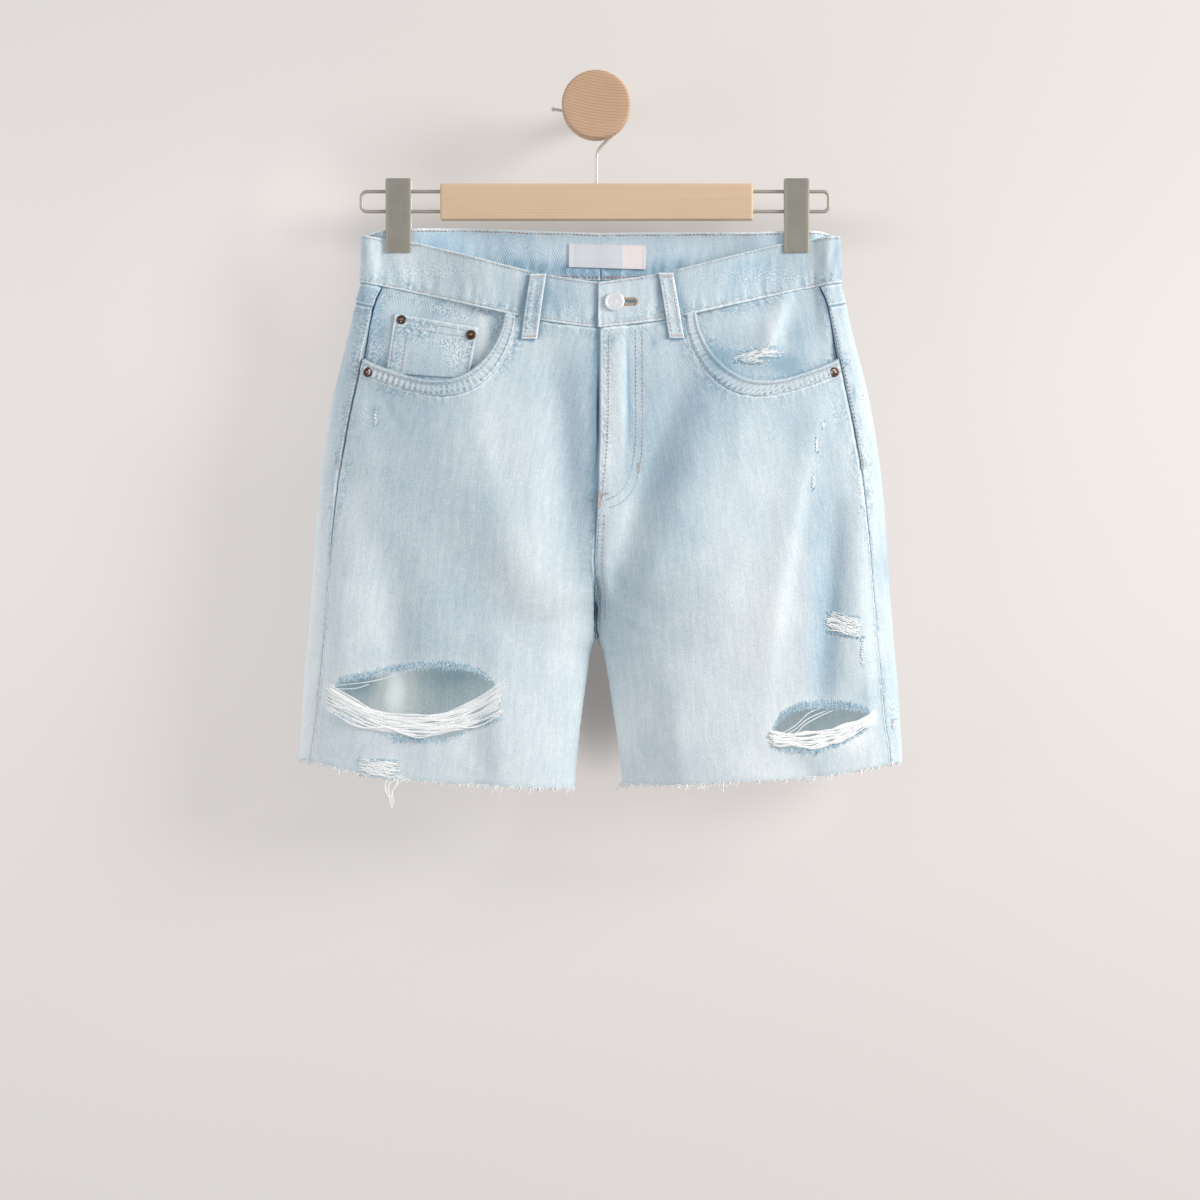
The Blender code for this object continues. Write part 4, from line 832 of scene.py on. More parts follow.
CLOTH_FINISHES = (DENIM, DENIM_INSIDE, RAW_EDGE, BAND_LINING)
OUTSIDE, INSIDE, EDGE, LINING = 0, 1, 2, 3


# ---- sheets of cloth
RIM_STEPS = (0, 0.25, 0.7, 1.4, 2.4)
HIDDEN_SEAM = 60


def spaced(length, step):
    """Shares from 0 to 1 along a length in millimetres: fine steps beside both ends, even ones between."""
    rim = np.array(RIM_STEPS)
    count = max(int(round((length - 2 * rim[-1]) / step)), 1)
    middle = np.linspace(rim[-1], length - rim[-1], count + 1)[1:-1]
    return np.concatenate([rim, middle, length - rim[::-1]]) / length


def rounded(share, length, radius):
    """How far a rounded edge has dropped: radius * (1 - sqrt(1 - (1 - distance / radius)^2))."""
    distance = np.minimum(share, 1 - share) * length
    inside = np.clip(1 - distance / radius, 0, 1)
    return radius * (1 - np.sqrt(np.maximum(1 - inside**2, 0)))


def least(*distances):
    """The smallest of several distances at each place of a grid."""
    return np.minimum.reduce(np.broadcast_arrays(*distances))


def ripple(along, period, seed):
    """A sine along a line whose phase drifts with a slower sine."""
    slow = np.sin(2 * math.pi * along / (3.7 * period) + seed)
    return np.sin(2 * math.pi * along / period + 1.7 * slow + 2.1 * seed)


def drift(across, drop, seed):
    """Soft unevenness: the mean of four crossing sines of different lengths."""
    waves = ((0.113, 0.031, 1), (-0.047, 0.089, 2.3), (0.071, -0.123, 4.1), (0.171, 0.052, 5.7))
    total = sum(np.sin(a * across + b * drop + phase * (1 + seed)) for a, b, phase in waves)
    return total / len(waves)


def closed_wall(outer, inner):
    """Joins two matching grids into one closed wall. Its points, its faces and each face's finish."""
    rows, columns = outer.shape[:2]
    top = grid_faces(rows, columns)
    under = top[:, ::-1] + rows * columns
    index = np.arange(rows * columns).reshape(rows, columns)
    rim = np.concatenate([index[0], index[1:, -1], index[-1, -2::-1], index[-2:0:-1, 0]])
    after = np.roll(rim, -1)
    edge = np.stack([rim, rim + rows * columns, after + rows * columns, after], axis=1)
    slots = np.repeat([OUTSIDE, INSIDE, OUTSIDE], [len(top), len(under), len(edge)])
    return np.concatenate([outer.reshape(-1, 3), inner.reshape(-1, 3)]), [top, under, edge], slots


def pairs(first, second):
    """Two grids as a list of map places."""
    return np.stack(np.broadcast_arrays(first, second), axis=-1).reshape(-1, 2)


def edges(surface):
    """Running distances over a grid of points from its first and last column, its top and its foot."""
    round_by, down_by = arc_length(surface, 1), arc_length(surface, 0)
    return round_by, round_by[:, -1:] - round_by, down_by, down_by[-1:] - down_by


def cloth(name, side, turn, drop, lift, thick, rim=0.5, distance=None, fade_and_shade=None, **other):
    """A wall of cloth on the shorts' surface. Its outer face lies lift out, and its rims are rounded off. The
    cloth map runs in metres round the leg, from the anchor's share of the width, and down. The tone map holds
    the fade with its painted light and shade, and the distance to the nearest seam. Others: a raw foot shows
    its edge, lined is the finish shown inside, and inner adds to the fade there, painted shade included."""
    turn, drop, lift = np.broadcast_arrays(turn, drop, lift)
    to_edges = edges(shell(side, turn, drop, lift))
    round_by, _, down_by, _ = to_edges
    wide, high = round_by[:, -1:], down_by[-1:]
    fall = 0
    if rim:
        fall = np.maximum(rounded(round_by / wide, wide, rim), rounded(down_by / high, high, rim))
    outer = shell(side, turn, drop, lift - fall)
    inner = shell(side, turn, drop, lift - thick + 0.3 * fall)
    if distance is None:
        distance = least(*to_edges)
    if fade_and_shade is None:
        fade_and_shade = fade_and_shade_at(side, turn, drop)
    points, faces, slots = closed_wall(outer, inner)
    if other.get("raw_foot"):
        foot = len(faces[0]) + len(faces[1]) + sum(turn.shape) - 2
        slots[foot : foot + turn.shape[1]] = EDGE
    slots[slots == INSIDE] = other.get("lined", INSIDE)
    weave = pairs(side * (round_by - other.get("anchor", 0) * wide), -drop) * MM
    # Painted light and shade on the inner faces behind, plus what the piece adds there.
    inside = bells(INSIDE_LIGHT_AND_SHADE[side], turn, drop) * (np.sin(turn) < 0) + other.get("inner", 0)
    tone = [pairs(fade_and_shade + more, distance) for more in (0, inside)]
    rub = pairs(rub_at(side, turn, drop), 0)
    maps = {"cloth": np.tile(weave, (2, 1)), "tone": np.concatenate(tone), "rub": np.tile(rub, (2, 1))}
    return piece(name, points, faces, CLOTH_FINISHES, maps, slots)


def settle_rows(side, turn_of, shares, top_edge, above, below):
    """Drops of a panel's rows: from its top edge to the crotch, then to the hem, closer at the crotch."""
    top = settle(top_edge, lambda d: turn_of(d, shares), 175 + 0 * shares)
    hem = settle(lambda a, t: hem_at(side, a), lambda d: turn_of(d, shares), 585 + 0 * shares)
    upper_share = 1 - (1 - np.linspace(0, 1, above + 1)) ** 1.25
    lower_share = np.linspace(0, 1, below + 1)[1:] ** 1.2
    upper = top + (CROTCH_DROP - top) * upper_share[:, None]
    return np.concatenate([upper, CROTCH_DROP + (hem - CROTCH_DROP) * lower_share[:, None]])


# ---- pocket openings and rips
def pocket_edge(extra, hem_share, count):
    """Points (across, drop) along the opening: radius(angle) + extra + share of the hem's width, about the
    corner of side seam and waistband."""
    angle = np.linspace(POCKET["angle"][0], POCKET["angle"][-1], count)
    radius = read(POCKET, "radius", angle) + extra + hem_share * read(POCKET, "hem_width", angle)
    radians = np.radians(angle)
    return POCKET_CORNER_ACROSS - radius * np.cos(radians), POCKET_CORNER_DROP + radius * np.sin(radians)


def about_corner(across, drop):
    """Angle in degrees and distance about the pocket's corner, and the opening's radius at that angle."""
    inward, down = POCKET_CORNER_ACROSS - across, drop - POCKET_CORNER_DROP
    angle = np.degrees(np.arctan2(down, inward))
    return angle, np.hypot(inward, down), read(POCKET, "radius", angle)


def beyond_hem(across, drop):
    """Distance outwards from the pocket hem's lower edge. Below 0 inside it."""
    angle, reach, radius = about_corner(across, drop)
    return reach - (radius + read(POCKET, "hem_width", angle))


def gape(across, drop):
    """How far the pocket stands open: 2.4 * sine along its curve * exp(-distance beyond it / 20)."""
    angle, reach, radius = about_corner(across, drop)
    opening = 2.4 * np.sin(math.pi * np.clip((angle - 8) / 100, 0, 1))
    return opening * np.exp(-np.maximum(reach - radius, 0) / 20)


def rip_outline(rip, seed, count=70):
    """Closed outline (across, drop) of a rip: its upper and lower edge with a ragged jitter."""
    random = np.random.default_rng(seed)
    across = np.linspace(rip["across"][0], rip["across"][-1], count)
    jag = random.uniform(-0.8, 0.8, (2, count)) * np.sin(math.pi * np.linspace(0, 1, count)) ** 0.3
    upper, lower = read(rip, "upper", across) + jag[0], read(rip, "lower", across) + jag[1]
    return np.concatenate([across, across[::-1]]), np.concatenate([upper, lower[::-1]])


def prism(name, outline, front_y, back_y, finish):
    """A cutter along Y with the outline (x, z)."""
    count = len(outline)
    points = [(x, y, z) for y in (front_y, back_y) for x, z in outline]
    here = np.arange(count)
    after = np.roll(here, -1)
    walls = np.stack([here, after, after + count, here + count], axis=1)
    none = np.zeros(2 * count)
    maps = {"cloth": pairs(none, none), "tone": pairs(none + 0.8, HIDDEN_SEAM), "rub": pairs(none, none)}
    return piece(name, points, [here[None, ::-1], here[None] + count, walls], (finish,), maps)


def cut(made, cutter):
    """Takes the cutter out of the piece for good, and removes the cutter."""
    modifier = made.modifiers.new("cut", "BOOLEAN")
    modifier.operation, modifier.object, modifier.solver = "DIFFERENCE", cutter, "EXACT"
    modifier.material_mode = "TRANSFER"
    depsgraph = bpy.context.evaluated_depsgraph_get()
    result = bpy.data.meshes.new_from_object(made.evaluated_get(depsgraph))
    made.modifiers.clear()
    old, made.data = made.data, result
    bpy.data.meshes.remove(old)
    bpy.data.meshes.remove(cutter.data)
    made.data.set_sharp_from_angle(angle=math.radians(50))


def as_xz(side, across, drop):
    return list(zip(SHORTS_X + side * np.asarray(across), -np.asarray(drop), strict=True))


# ---- front and back panels
FLY_LAP = {RIGHT: 8, LEFT: 1}


def fly_lift(across, drop):
    """The left front rises over the right one along the fly."""
    beside = 1 - ease(12, 30, across)
    return (CLOTH + 1.3) * beside * (1 - ease(FLY_END_DROP + 4, FLY_END_DROP + 40, drop))


def calmer(seams, drop):
    """Distances from the seams, stretched below the hip, where stitching left fewer blotches."""
    return seams + 10 * ease(320, 400, drop) * ease(1.2, 3, seams)


def seam_shade(to_side, drop):
    """Painted shade in the ditch of the side seam above the hip, added to the fade."""
    return -2.4 * ease(150, 165, drop) * (1 - ease(290, 330, drop)) * bell(to_side, 1.2)


def waist_low(across, turn):
    return np.where(np.sin(turn) >= 0, waist_at("front_low", across), waist_at("back_low", across))


def at_hem(to_hem):
    """Fade along the raw hem: washed paler, and darker right at the edge."""
    return 0.14 * np.exp(-to_hem / 9) - 0.2 * np.exp(-to_hem / 1.5)


def front_panel(side):
    """One front. Columns run from the centre seam and inseam to the side seam."""

    def turn_of(drop, share):
        lap = FLY_LAP[side] * (1 - ease(FLY_END_DROP - 36, FLY_END_DROP - 6, drop))
        inner = front_turn(-lap, drop)
        return inner + share * (seam_turn(drop) - inner)

    shares = spaced(290, 2.7)
    drop = settle_rows(side, turn_of, shares, waist_low, 112, 48)
    turn = turn_of(drop, shares)
    across = across_of(turn, drop)
    lift = gape(across, drop) + (fly_lift(across, drop) if side == LEFT else 0)
    to_centre, to_side, down_by, to_hem = edges(shell(side, turn, drop, lift))
    beyond = beyond_hem(across, drop)
    near_hem = np.where((beyond > -2) & (drop < 280), np.maximum(beyond, 0), 40)
    side_seam = to_side + 0.45 * ease(360, 420, drop)
    seams = calmer(least(to_centre, side_seam, down_by + 0.2, near_hem + 0.8), drop)
    lift += 0.35 * ripple(drop, 10.5, 0.4 + side) * np.exp(-to_side / 8)
    lift += 0.30 * ripple(drop, 9, 1.4 + side) * np.exp(-to_centre / 8)
    lift += 0.45 * ripple(across, 13, 2 + side) * np.exp(-down_by / 9)
    lift += 0.5 * ripple(across - drop, 7.4, side) * np.exp(-near_hem / 5)
    lift += 0.35 * drift(across, drop, side)
    lift -= (0.9 - 0.4 * ease(360, 420, drop)) * bell(to_side, 1.3) + 0.8 * bell(to_centre, 1.3)
    crease = ease(405, 430, drop) * (1 - ease(466, 480, drop))
    lift -= 3.4 * crease * bell(to_centre, 2.4)
    outline = rip_outline(RIPS[side], 31 + side)
    torn = np.hypot(across[..., None] - outline[0], drop[..., None] - outline[1]).min(axis=-1)
    fade_and_shade = fade_and_shade_at(side, turn, drop) + 0.25 * np.exp(-torn / 6) - 0.12 * np.exp(-torn / 1.5) + at_hem(to_hem)
    # Painted shade deep in the crease above the crotch, navy right at the centre.
    fade_and_shade -= crease * (1.4 * bell(to_centre, 1.6) + 0.4 * bell(to_centre, 4.5))
    # Painted light on the inner edges just below the crotch, which turn away from the light.
    fade_and_shade += (0.6 if side == RIGHT else 0.2) * ease(468, 482, drop) * bell(to_centre, 2.4)
    # Painted shade in the side seam's ditch and beside the front loops.
    fade_and_shade += seam_shade(to_side, drop) - 0.5 * shade_beside_loops(side, across, drop, np.array(True))
    name = f"front_panel_{WORD[side]}"
    made = cloth(name, side, turn, drop, lift, CLOTH, 0.4, seams, fade_and_shade, raw_foot=True, anchor=1)
    near, far = pocket_edge(0, 0, 90)
    opening = as_xz(side, [*near, 260, 260, near[0]], [*far, far[-1], 120, 120])
    cut(made, prism("cut_pocket", opening, HANG_Y - 70, HANG_Y, DENIM))
    cut(made, prism("cut_rip", as_xz(side, *outline), HANG_Y - 70, HANG_Y, RAW_EDGE))
    finished(made, "denim", f"front_{WORD[side]}")


def yoke_edge(across, turn):
    """Drop of the yoke seam, which rises from the side seam to the outline and falls to the centre back."""
    return 171 + 4 * ease(0, 0.5, math.pi - turn) + 34 * ease(math.pi, 1.5 * math.pi, turn)


def back_turn_of(drop, share, lap=0):
    """Share 0 at the side seam and 1 at the centre back seam or inseam, or a lap beyond it."""
    start = seam_turn(drop)
    return start + share * (back_turn(-lap * (1 - ease(464, 471, drop)), drop) - start)


def back_panel(side):
    """One back. Columns run from the side seam to the centre back seam and inseam."""
    shares = spaced(300, 3.2)
    lap = 3 if side == LEFT else 0

    def turn_of(drop, share):
        return back_turn_of(drop, share, lap)

    drop = settle_rows(side, turn_of, shares, yoke_edge, 92, 42)
    turn = turn_of(drop, shares)
    across = across_of(turn, drop)
    to_side, to_centre, down_by, to_hem = edges(shell(side, turn, drop))
    lift = 0.35 * ripple(drop, 10.5, 0.9 + side) * np.exp(-to_side / 8)
    lift += 0.35 * ripple(drop, 9, 1.9 + side) * np.exp(-to_centre / 9)
    lift += 0.35 * ripple(across, 12, 2.6 + side) * np.exp(-down_by / 9)
    lift += 0.4 * drift(across, drop, 3 + side) - 0.9 * bell(to_side, 1.3) - 0.8 * bell(to_centre, 1.3)
    lift -= 1.3 * (1 - ease(-3, 0.4, across)) * (lap > 0)
    seams = calmer(least(to_side + 0.45 * ease(360, 420, drop), to_centre, down_by), drop)
    fade_and_shade = fade_and_shade_at(side, turn, drop) + at_hem(to_hem)
    # Painted deep shade on the inner face at the crotch, seen through the slit.
    inner = -2.4 * ease(420, 446, drop) * (1 - ease(469, 474, drop)) * bell(to_centre, 6)
    name = f"back_panel_{WORD[side]}"
    made = cloth(name, side, turn, drop, lift, CLOTH, 0.4, seams, fade_and_shade, raw_foot=True, inner=inner)
    finished(made, "denim", f"back_{WORD[side]}")


def yoke(side):
    """The shaped piece between waistband and back panel, from the side seam to the centre back."""
    shares = spaced(270, 3.2)
    top, low = (
        settle(edge, lambda d: back_turn_of(d, shares), start + 0 * shares)
        for edge, start in ((waist_low, 152), (yoke_edge, 180))
    )
    drop = top + (low - top) * spaced(40, 3)[:, None]
    turn = back_turn_of(drop, shares)
    across = across_of(turn, drop)
    round_by, _, down_by, to_low = edges(shell(side, turn, drop))
    lift = 0.3 * ripple(across, 12, 3.6 + side) * np.exp(-np.minimum(down_by, to_low) / 9)
    lift -= 0.8 * bell(to_low, 1.3) + 0.8 * bell(round_by, 1.3)
    # Painted shade on the yoke's inner face just under the band, near the centre back.
    inner = -0.8 * bell(down_by, 7) * (1 - ease(90, 140, across))
    made = cloth(f"back_yoke_{WORD[side]}", side, turn, drop, lift, CLOTH, 0.4, lined=OUTSIDE, inner=inner)
    finished(made, "denim", f"yoke_{WORD[side]}")


# ---- waistband
BAND_LAP = {RIGHT: 30, LEFT: 2.3}
BAND_HALF = 211


def band_lift(side, across, in_front):
    """The left end lies over the right one, so it rises and the right one sinks."""
    over = 1 * (1 - ease(32, 62, across)) if side == LEFT else -2 * (1 - ease(4, 30, across))
    return BAND_PROUD + np.where(in_front, over, 0)


def shade_beside_loops(side, across, drop, in_front):
    """Painted contact shade: 1 along both edges of the belt loops, fading within a few millimetres."""
    shade = 0
    for _, where, edge, (a_top, a_low), (top, low), width in LOOPS:
        if where == side:
            middle = a_top + (a_low - a_top) * (drop - top) / (low - top)
            beyond = np.maximum(np.abs(across - middle) - width / 2, 0)
            here = in_front & (edge == "front_low") & (drop < low + 1)
            shade = shade + here * (bell(beyond, 1.8) + 0.4 * bell(beyond, 5))
    return shade


def waistband(side):
    """Half of the folded band, from its front end round the side to the centre back."""
    start = math.acos(BAND_LAP[side] / BAND_HALF)
    turn = start + (1.5 * math.pi - start) * spaced(450, 2.7)
    across = -BAND_HALF * np.cos(turn)
    in_front = turn <= math.pi
    top = np.where(in_front, waist_at("front_top", across), back_top(side, across))
    low = waist_low(across, turn)
    share = spaced(41, 2.4)[:, None]
    drop = top + (low - top) * share
    turn, across = turn + 0 * drop, across + 0 * drop
    puckers = 0.42 * ripple(across, 8.5, side) * bell(share - 0.82, 0.16)
    puckers += 0.18 * ripple(across, 7, 2 + side) * bell(share - 0.1, 0.1)
    rolls = 0.22 * ripple(across + 14 * share, 34, 4 + side)
    channel = -0.25 * bell(share - 0.93, 0.03) - 0.2 * bell(share - 0.07, 0.03)
    lift = band_lift(side, across, in_front) + puckers + rolls + channel
    round_by, _, down_by, to_low = edges(shell(side, turn, drop, lift))
    seams = least(down_by + 1.4 + 9 * ease(0.8, 3, down_by), to_low + 0.6, round_by + 0.8)
    worn = ripple(across, 8.5, side) * bell(share - 0.78, 0.22)
    worn += 0.7 * ripple(across + 9 * share, 15, 1 + side) * bell(share - 0.6, 0.3)
    # Painted contact shade beside the front loops.
    shade = 0.5 * shade_beside_loops(side, across, drop, in_front)
    fade_and_shade = fade_and_shade_at(side, turn, drop) + 0.03 + 0.13 * worn - shade
    inner = 0.7 * bell(down_by, 1.9)
    inner += (0.24 * ripple(across + 5 * share, 9.5, 3 + side) - 0.14) * bell(share - 0.82, 0.2)
    more = {"lined": LINING, "inner": np.where(in_front, 0, inner)}
    made = cloth(f"band_{WORD[side]}", side, turn, drop, lift, BAND, 1.1, seams, fade_and_shade, **more)
    if side == LEFT:
        reach = BUTTONHOLE_HALF
        ends = arc((BUTTONHOLE_END - reach, -BUTTON_DROP), reach, -90, 90, 9)
        ends += arc((BUTTON_ACROSS, -BUTTON_DROP), reach, 90, 270, 9)
        slot = [(SHORTS_X + across, z) for across, z in ends]
        cut(made, prism("cut_buttonhole", slot, HANG_Y - 50, HANG_Y - 10, RAW_EDGE))
    finished(made, "denim", f"waistband_{WORD[side]}")


# ---- pockets
def pocket_recess(across, drop):
    """How far the facing lies behind the front: nearly level in the corner, deeper at the opening."""
    _, reach, radius = about_corner(across, drop)
    share, under_front = reach / radius, CLOTH + 0.6 + PATCH_CLOTH + 0.5
    return 0.4 + (under_front - 0.4) * ease(0.35, 0.85, share) + 1.4 * ease(0.7, 1, share)


def pocket_facing(side):
    """The denim inside the curved opening, from the side seam to behind the front."""
    share, rows = spaced(170, 2.7), spaced(90, 2.7)[:, None]
    drop = np.full((len(rows), len(share)), 200.0)
    for _ in range(7):
        outer = seam_across(drop)
        across = outer + share * (68 - outer)
        top = waist_at("front_low", across)
        drop = top + (257 - top) * rows
    turn, down = front_turn(across, drop), drop - top
    lift = 0.25 * drift(across, drop, 5 + side) - pocket_recess(across, drop)
    lift += 0.3 * ripple(across, 11, 5 + side) * np.exp(-down / 8)
    to_opening = -beyond_hem(across, drop) - 12
    seams = least(down + 2, np.maximum(to_opening, 3), share * 120 + 1)
    # Painted shade on the facing just inside the lower part of the opening, under its edge.
    shade = 0.32 * np.exp(-np.maximum(to_opening, 0) / 7) * ease(205, 232, drop)
    fade_and_shade = fade_and_shade_at(side, turn, drop) - shade + seam_shade(share * 120, drop)
    made = cloth(f"facing_{WORD[side]}", side, turn, drop, lift, PATCH_CLOTH, 0.3, seams, fade_and_shade)
    finished(made, "denim", f"pocket_facing_{WORD[side]}")


HEM_PUCKER = 4.7
HEM_DIM = {RIGHT: (128, 28), LEFT: (100, 12)}  # middle and reach of a darker stretch


def pocket_hem(side):
    """The turned edge of the opening: a low pad that rolls in at the opening and melts into the front at its
    far edge, with puckers square to it."""
    near_across, near_drop = pocket_edge(0.2, 0, 96)
    far_across, far_drop = pocket_edge(0.2, 1, 96)
    share = np.array([-0.07, -0.06, -0.03, 0.02, 0.09, 0.18, 0.3, 0.45, 0.6, 0.74, 0.84, 0.92, 0.98, 1.02])
    rise = np.array([-1.3, -0.3, 0.55, 1.15, 1.5, 1.55, 1.35, 1.25, 1.3, 1.35, 1.15, 0.75, 0.3, -0.3])
    share, rise = share[:, None], rise[:, None]
    across = near_across + share * (far_across - near_across)
    drop = near_drop + share * (far_drop - near_drop)
    below_band, inside_seam = drop - waist_at("front_low", across) + 1.5, seam_across(drop) - 0.4 - across
    keep = (np.min(below_band, axis=0) > 0) & (np.min(inside_seam, axis=0) > 0)
    across, drop = across[:, keep], drop[:, keep]
    middle = 6
    onward = np.stack([np.gradient(across[middle]), np.gradient(drop[middle])])
    onward /= np.hypot(*onward)
    leaning = (far_across - near_across)[keep] * onward[0] + (far_drop - near_drop)[keep] * onward[1]
    along_it = arc_length(np.stack([across, drop], axis=-1), 1)[middle]
    squared = along_it + (share - share[middle]) * leaning
    phase = math.pi * squared / HEM_PUCKER + 0.9 * np.sin(squared / 13 + side)
    rope = 2 * np.abs(np.sin(phase)) ** 0.7 - 1
    steep = ease(0.45, 0.85, np.abs(onward[1]))
    between = ease(0.26, 0.42, share) * (1 - ease(0.86, 0.98, share)) * (1 - 0.5 * steep)
    lift = gape(across, drop) + rise + 0.75 * rope * between
    distance = np.minimum(np.abs(share), np.abs(1 - share)) * 13 + 0.5
    distance = distance + 4 * np.maximum(distance - 1.8, 0)
    turn = front_turn(across, drop)
    dashes = bell(share - 0.88, 0.09) * (1 - rope) * (1 - 0.6 * steep)
    dim_at, reach = HEM_DIM[side]
    shade = 0.12 * dashes + 0.14 * bell(across - dim_at, reach)
    fade_and_shade = fade_and_shade_at(side, turn, drop) + 0.46 * (rope - 0.15) * between - shade
    made = cloth(f"pocket_edge_{WORD[side]}", side, turn, drop, lift, HEM_CLOTH, 0, distance, fade_and_shade)
    finished(made, "denim", f"pocket_hem_{WORD[side]}")


COIN_CORNERS = np.array([(180.6, 180.8), (106.2, 193), (114.6, 238.5), (188.8, 233.5)])  # (across, drop)


def coin_place(u, v):
    """Place on the coin pocket: the bilinear blend of its corners, u from side to centre and v down."""
    shares = ((1 - u) * (1 - v), u * (1 - v), u * v, (1 - u) * v)
    return tuple(sum(at * share for at, share in zip(axis, shares, strict=True)) for axis in COIN_CORNERS.T)


def coin_pocket():
    """The small patch pocket on the right facing, with a thick stitched mouth."""
    u, v = spaced(72, 2.2), spaced(46, 2.2)[:, None]
    across, drop = coin_place(u, v)
    mouth = 0.55 * (1 - ease(0.27, 0.33, v))
    puckers = 0.25 * ripple(across, 7, 3) * bell(v - 0.2, 0.14)
    lift = 0.4 + PATCH_CLOTH - pocket_recess(across, drop) + mouth + puckers
    distance = least(u * 72 + 0.4, (1 - u) * 72 + 0.4, np.abs(v - 0.27) * 46 + 3.2, v * 46 + 0.6)
    made = cloth("coin_patch", RIGHT, front_turn(across, drop), drop, lift, PATCH_CLOTH + 0.4, 0.8, distance)
    finished(made, "denim", "coin_pocket")


def back_pocket_place(u, v):
    """Place on a back pocket: u from its inner to its outer edge, v down, tapering to a pointed foot."""
    inner, outer, top, low, point = 46, 176, 232, 358, 18
    taper = 7 * v
    across = inner + taper + u * (outer - inner - 2 * taper)
    foot = low + point * (1 - np.abs(2 * u - 1))
    return across, top + v * (foot - top)


def back_pocket(side):
    """A plain patch pocket with a stitched mouth and a pointed foot."""
    u, v = spaced(130, 2.7), spaced(135, 2.7)[:, None]
    across, drop = back_pocket_place(u, v)
    mouth = 0.45 * (1 - ease(0.105, 0.13, v))
    edge = np.minimum(np.minimum(u, 1 - u) * 120, (1 - v) * 135)
    lift = 0.9 + PATCH_CLOTH + mouth + 0.3 * drift(across, drop, 8 + side)
    lift += 0.25 * ripple(across + drop, 9, side) * np.exp(-edge / 9) - 0.6 * np.exp(-edge / 2.5)
    distance = least(edge + 0.3, v * 135 + 0.6, np.abs(v - 0.12) * 135 + 0.4)
    turn = back_turn(across, drop)
    made = cloth(f"hip_pocket_{WORD[side]}", side, turn, drop, lift, PATCH_CLOTH, 0.8, distance)
    finished(made, "denim", f"back_pocket_{WORD[side]}")


# ---- belt loops, label
def on_band(side, at, drop, edge):
    """The cloth's own height under a loop: the band's lift, down to the panel below the band's lower edge."""
    lift = band_lift(side, at, True) if edge == "front_low" else BAND_PROUD
    return lift * (1 - ease(0.5, 5, drop - waist_at(edge, at)))


LOOPS = (  # node, side, front or back, across at the top and foot, drop at the top and foot, width
    ("belt_loop_front_right", RIGHT, "front_low", (54.5, 62.5), (147.2, 204.5), 14),
    ("belt_loop_front_left", LEFT, "front_low", (57, 66.4), (146.2, 204), 12.8),
    ("belt_loop_back_right", RIGHT, "back_low", (118, 118), (107.6, 164), 13.4),
    ("belt_loop_back_left", LEFT, "back_low", (118, 118), (107.6, 164), 13.4),
    ("belt_loop_back_centre", LEFT, "back_low", (0, 0), (109.4, 165), 13.4),
)


def loop_surface(side, edge, across, drops, width, share, beside):
    """Turn, drop and lift on a loop: share from its top to its foot, beside from -0.5 to 0.5 across it. It
    stands off between its sewn ends."""
    at = across[0] + share * (across[1] - across[0]) + beside * width
    drop = drops[0] + share * (drops[1] - drops[0]) + 0 * beside
    stand_off = 1.6 * ease(0.04, 0.3, share) * (1 - ease(0.62, 0.86, share))
    lift = on_band(side, at, drop, edge) + 0.5 + stand_off + LOOP
    turn = front_turn(at, drop) if edge == "front_low" else back_turn(at, drop)
    return turn, drop, lift


def belt_loop(node, side, edge, across, drops, width):
    """A folded strip sewn down at both ends, with thick edges and turned-under ends."""
    share, beside = spaced(57, 2)[:, None], spaced(width, 1.6) - 0.5
    turn, drop, lift = loop_surface(side, edge, across, drops, width, share, beside)
    from_end = np.minimum(share, 1 - share)
    ends = 0.5 * (1 - ease(0.05, 0.11, from_end))
    lift = lift + ends - 0.35 * bell(beside, 0.16) + 0.15 * ripple(drop, 6, across[0])
    distance = np.minimum((0.5 - np.abs(beside)) * width + 0.6, from_end * 57 + 0.5) + 1
    fade_and_shade = fade_and_shade_at(side, turn, drop) + 0.12
    finished(cloth(node + "_strip", side, turn, drop, lift, LOOP, 0.9, distance, fade_and_shade), "denim", node)


def waist_label():
    """A blank woven label on the inside of the back band, with folded ends and a foot that curls out."""
    start, end, tall = -28.2, 40, 20.6
    share = np.linspace(0, 1, 16)[:, None]
    across = np.linspace(start, end, 60) + 0 * share
    drop = 116.6 + tall * share + 2 * (across - start) / (end - start)
    curl = 0.5 * share**2 * (1 + 0.5 * np.sin(across / 9)) + 0.12 * np.sin(across / 4.3)
    lift = BAND_PROUD - BAND - 0.3 - curl
    turn = back_turn(across, drop)
    thick = 0.6 + 0.35 * (1 - ease(2, 3, np.minimum(across - start, end - across)))
    points, faces, _ = closed_wall(shell(LEFT, turn, drop, lift), shell(LEFT, turn, drop, lift - thick))
    finished(piece("label_strip", points, faces, (label_finish(),)), "label_cloth", "waist_label")


# ---- stitching
STITCH, STITCH_GAP, THREAD = 2.6, 0.85, 0.42
COIN_EDGE = 0.045


def front_line(side, across, drop, lift):
    return shell(side, front_turn(across, drop), drop, lift)


def back_line(side, across, drop, lift):
    return shell(side, back_turn(across, drop), drop, lift)


def stitched(line):
    """Stitches along a line of points: spindles with their middles raised, every stitch + gap along it."""
    length = arc_length(line, 0)
    starts = np.arange(STITCH_GAP, length[-1] - STITCH, STITCH + STITCH_GAP)
    at = starts[:, None] + np.array([0, 0.18, 0.5, 0.82, 1]) * STITCH
    paths = np.stack([np.interp(at, length, line[:, axis]) for axis in range(3)], axis=-1)
    return tubes(paths, THREAD * np.array([0.35, 0.95, 1.1, 0.95, 0.35]) + 0 * at, 5)


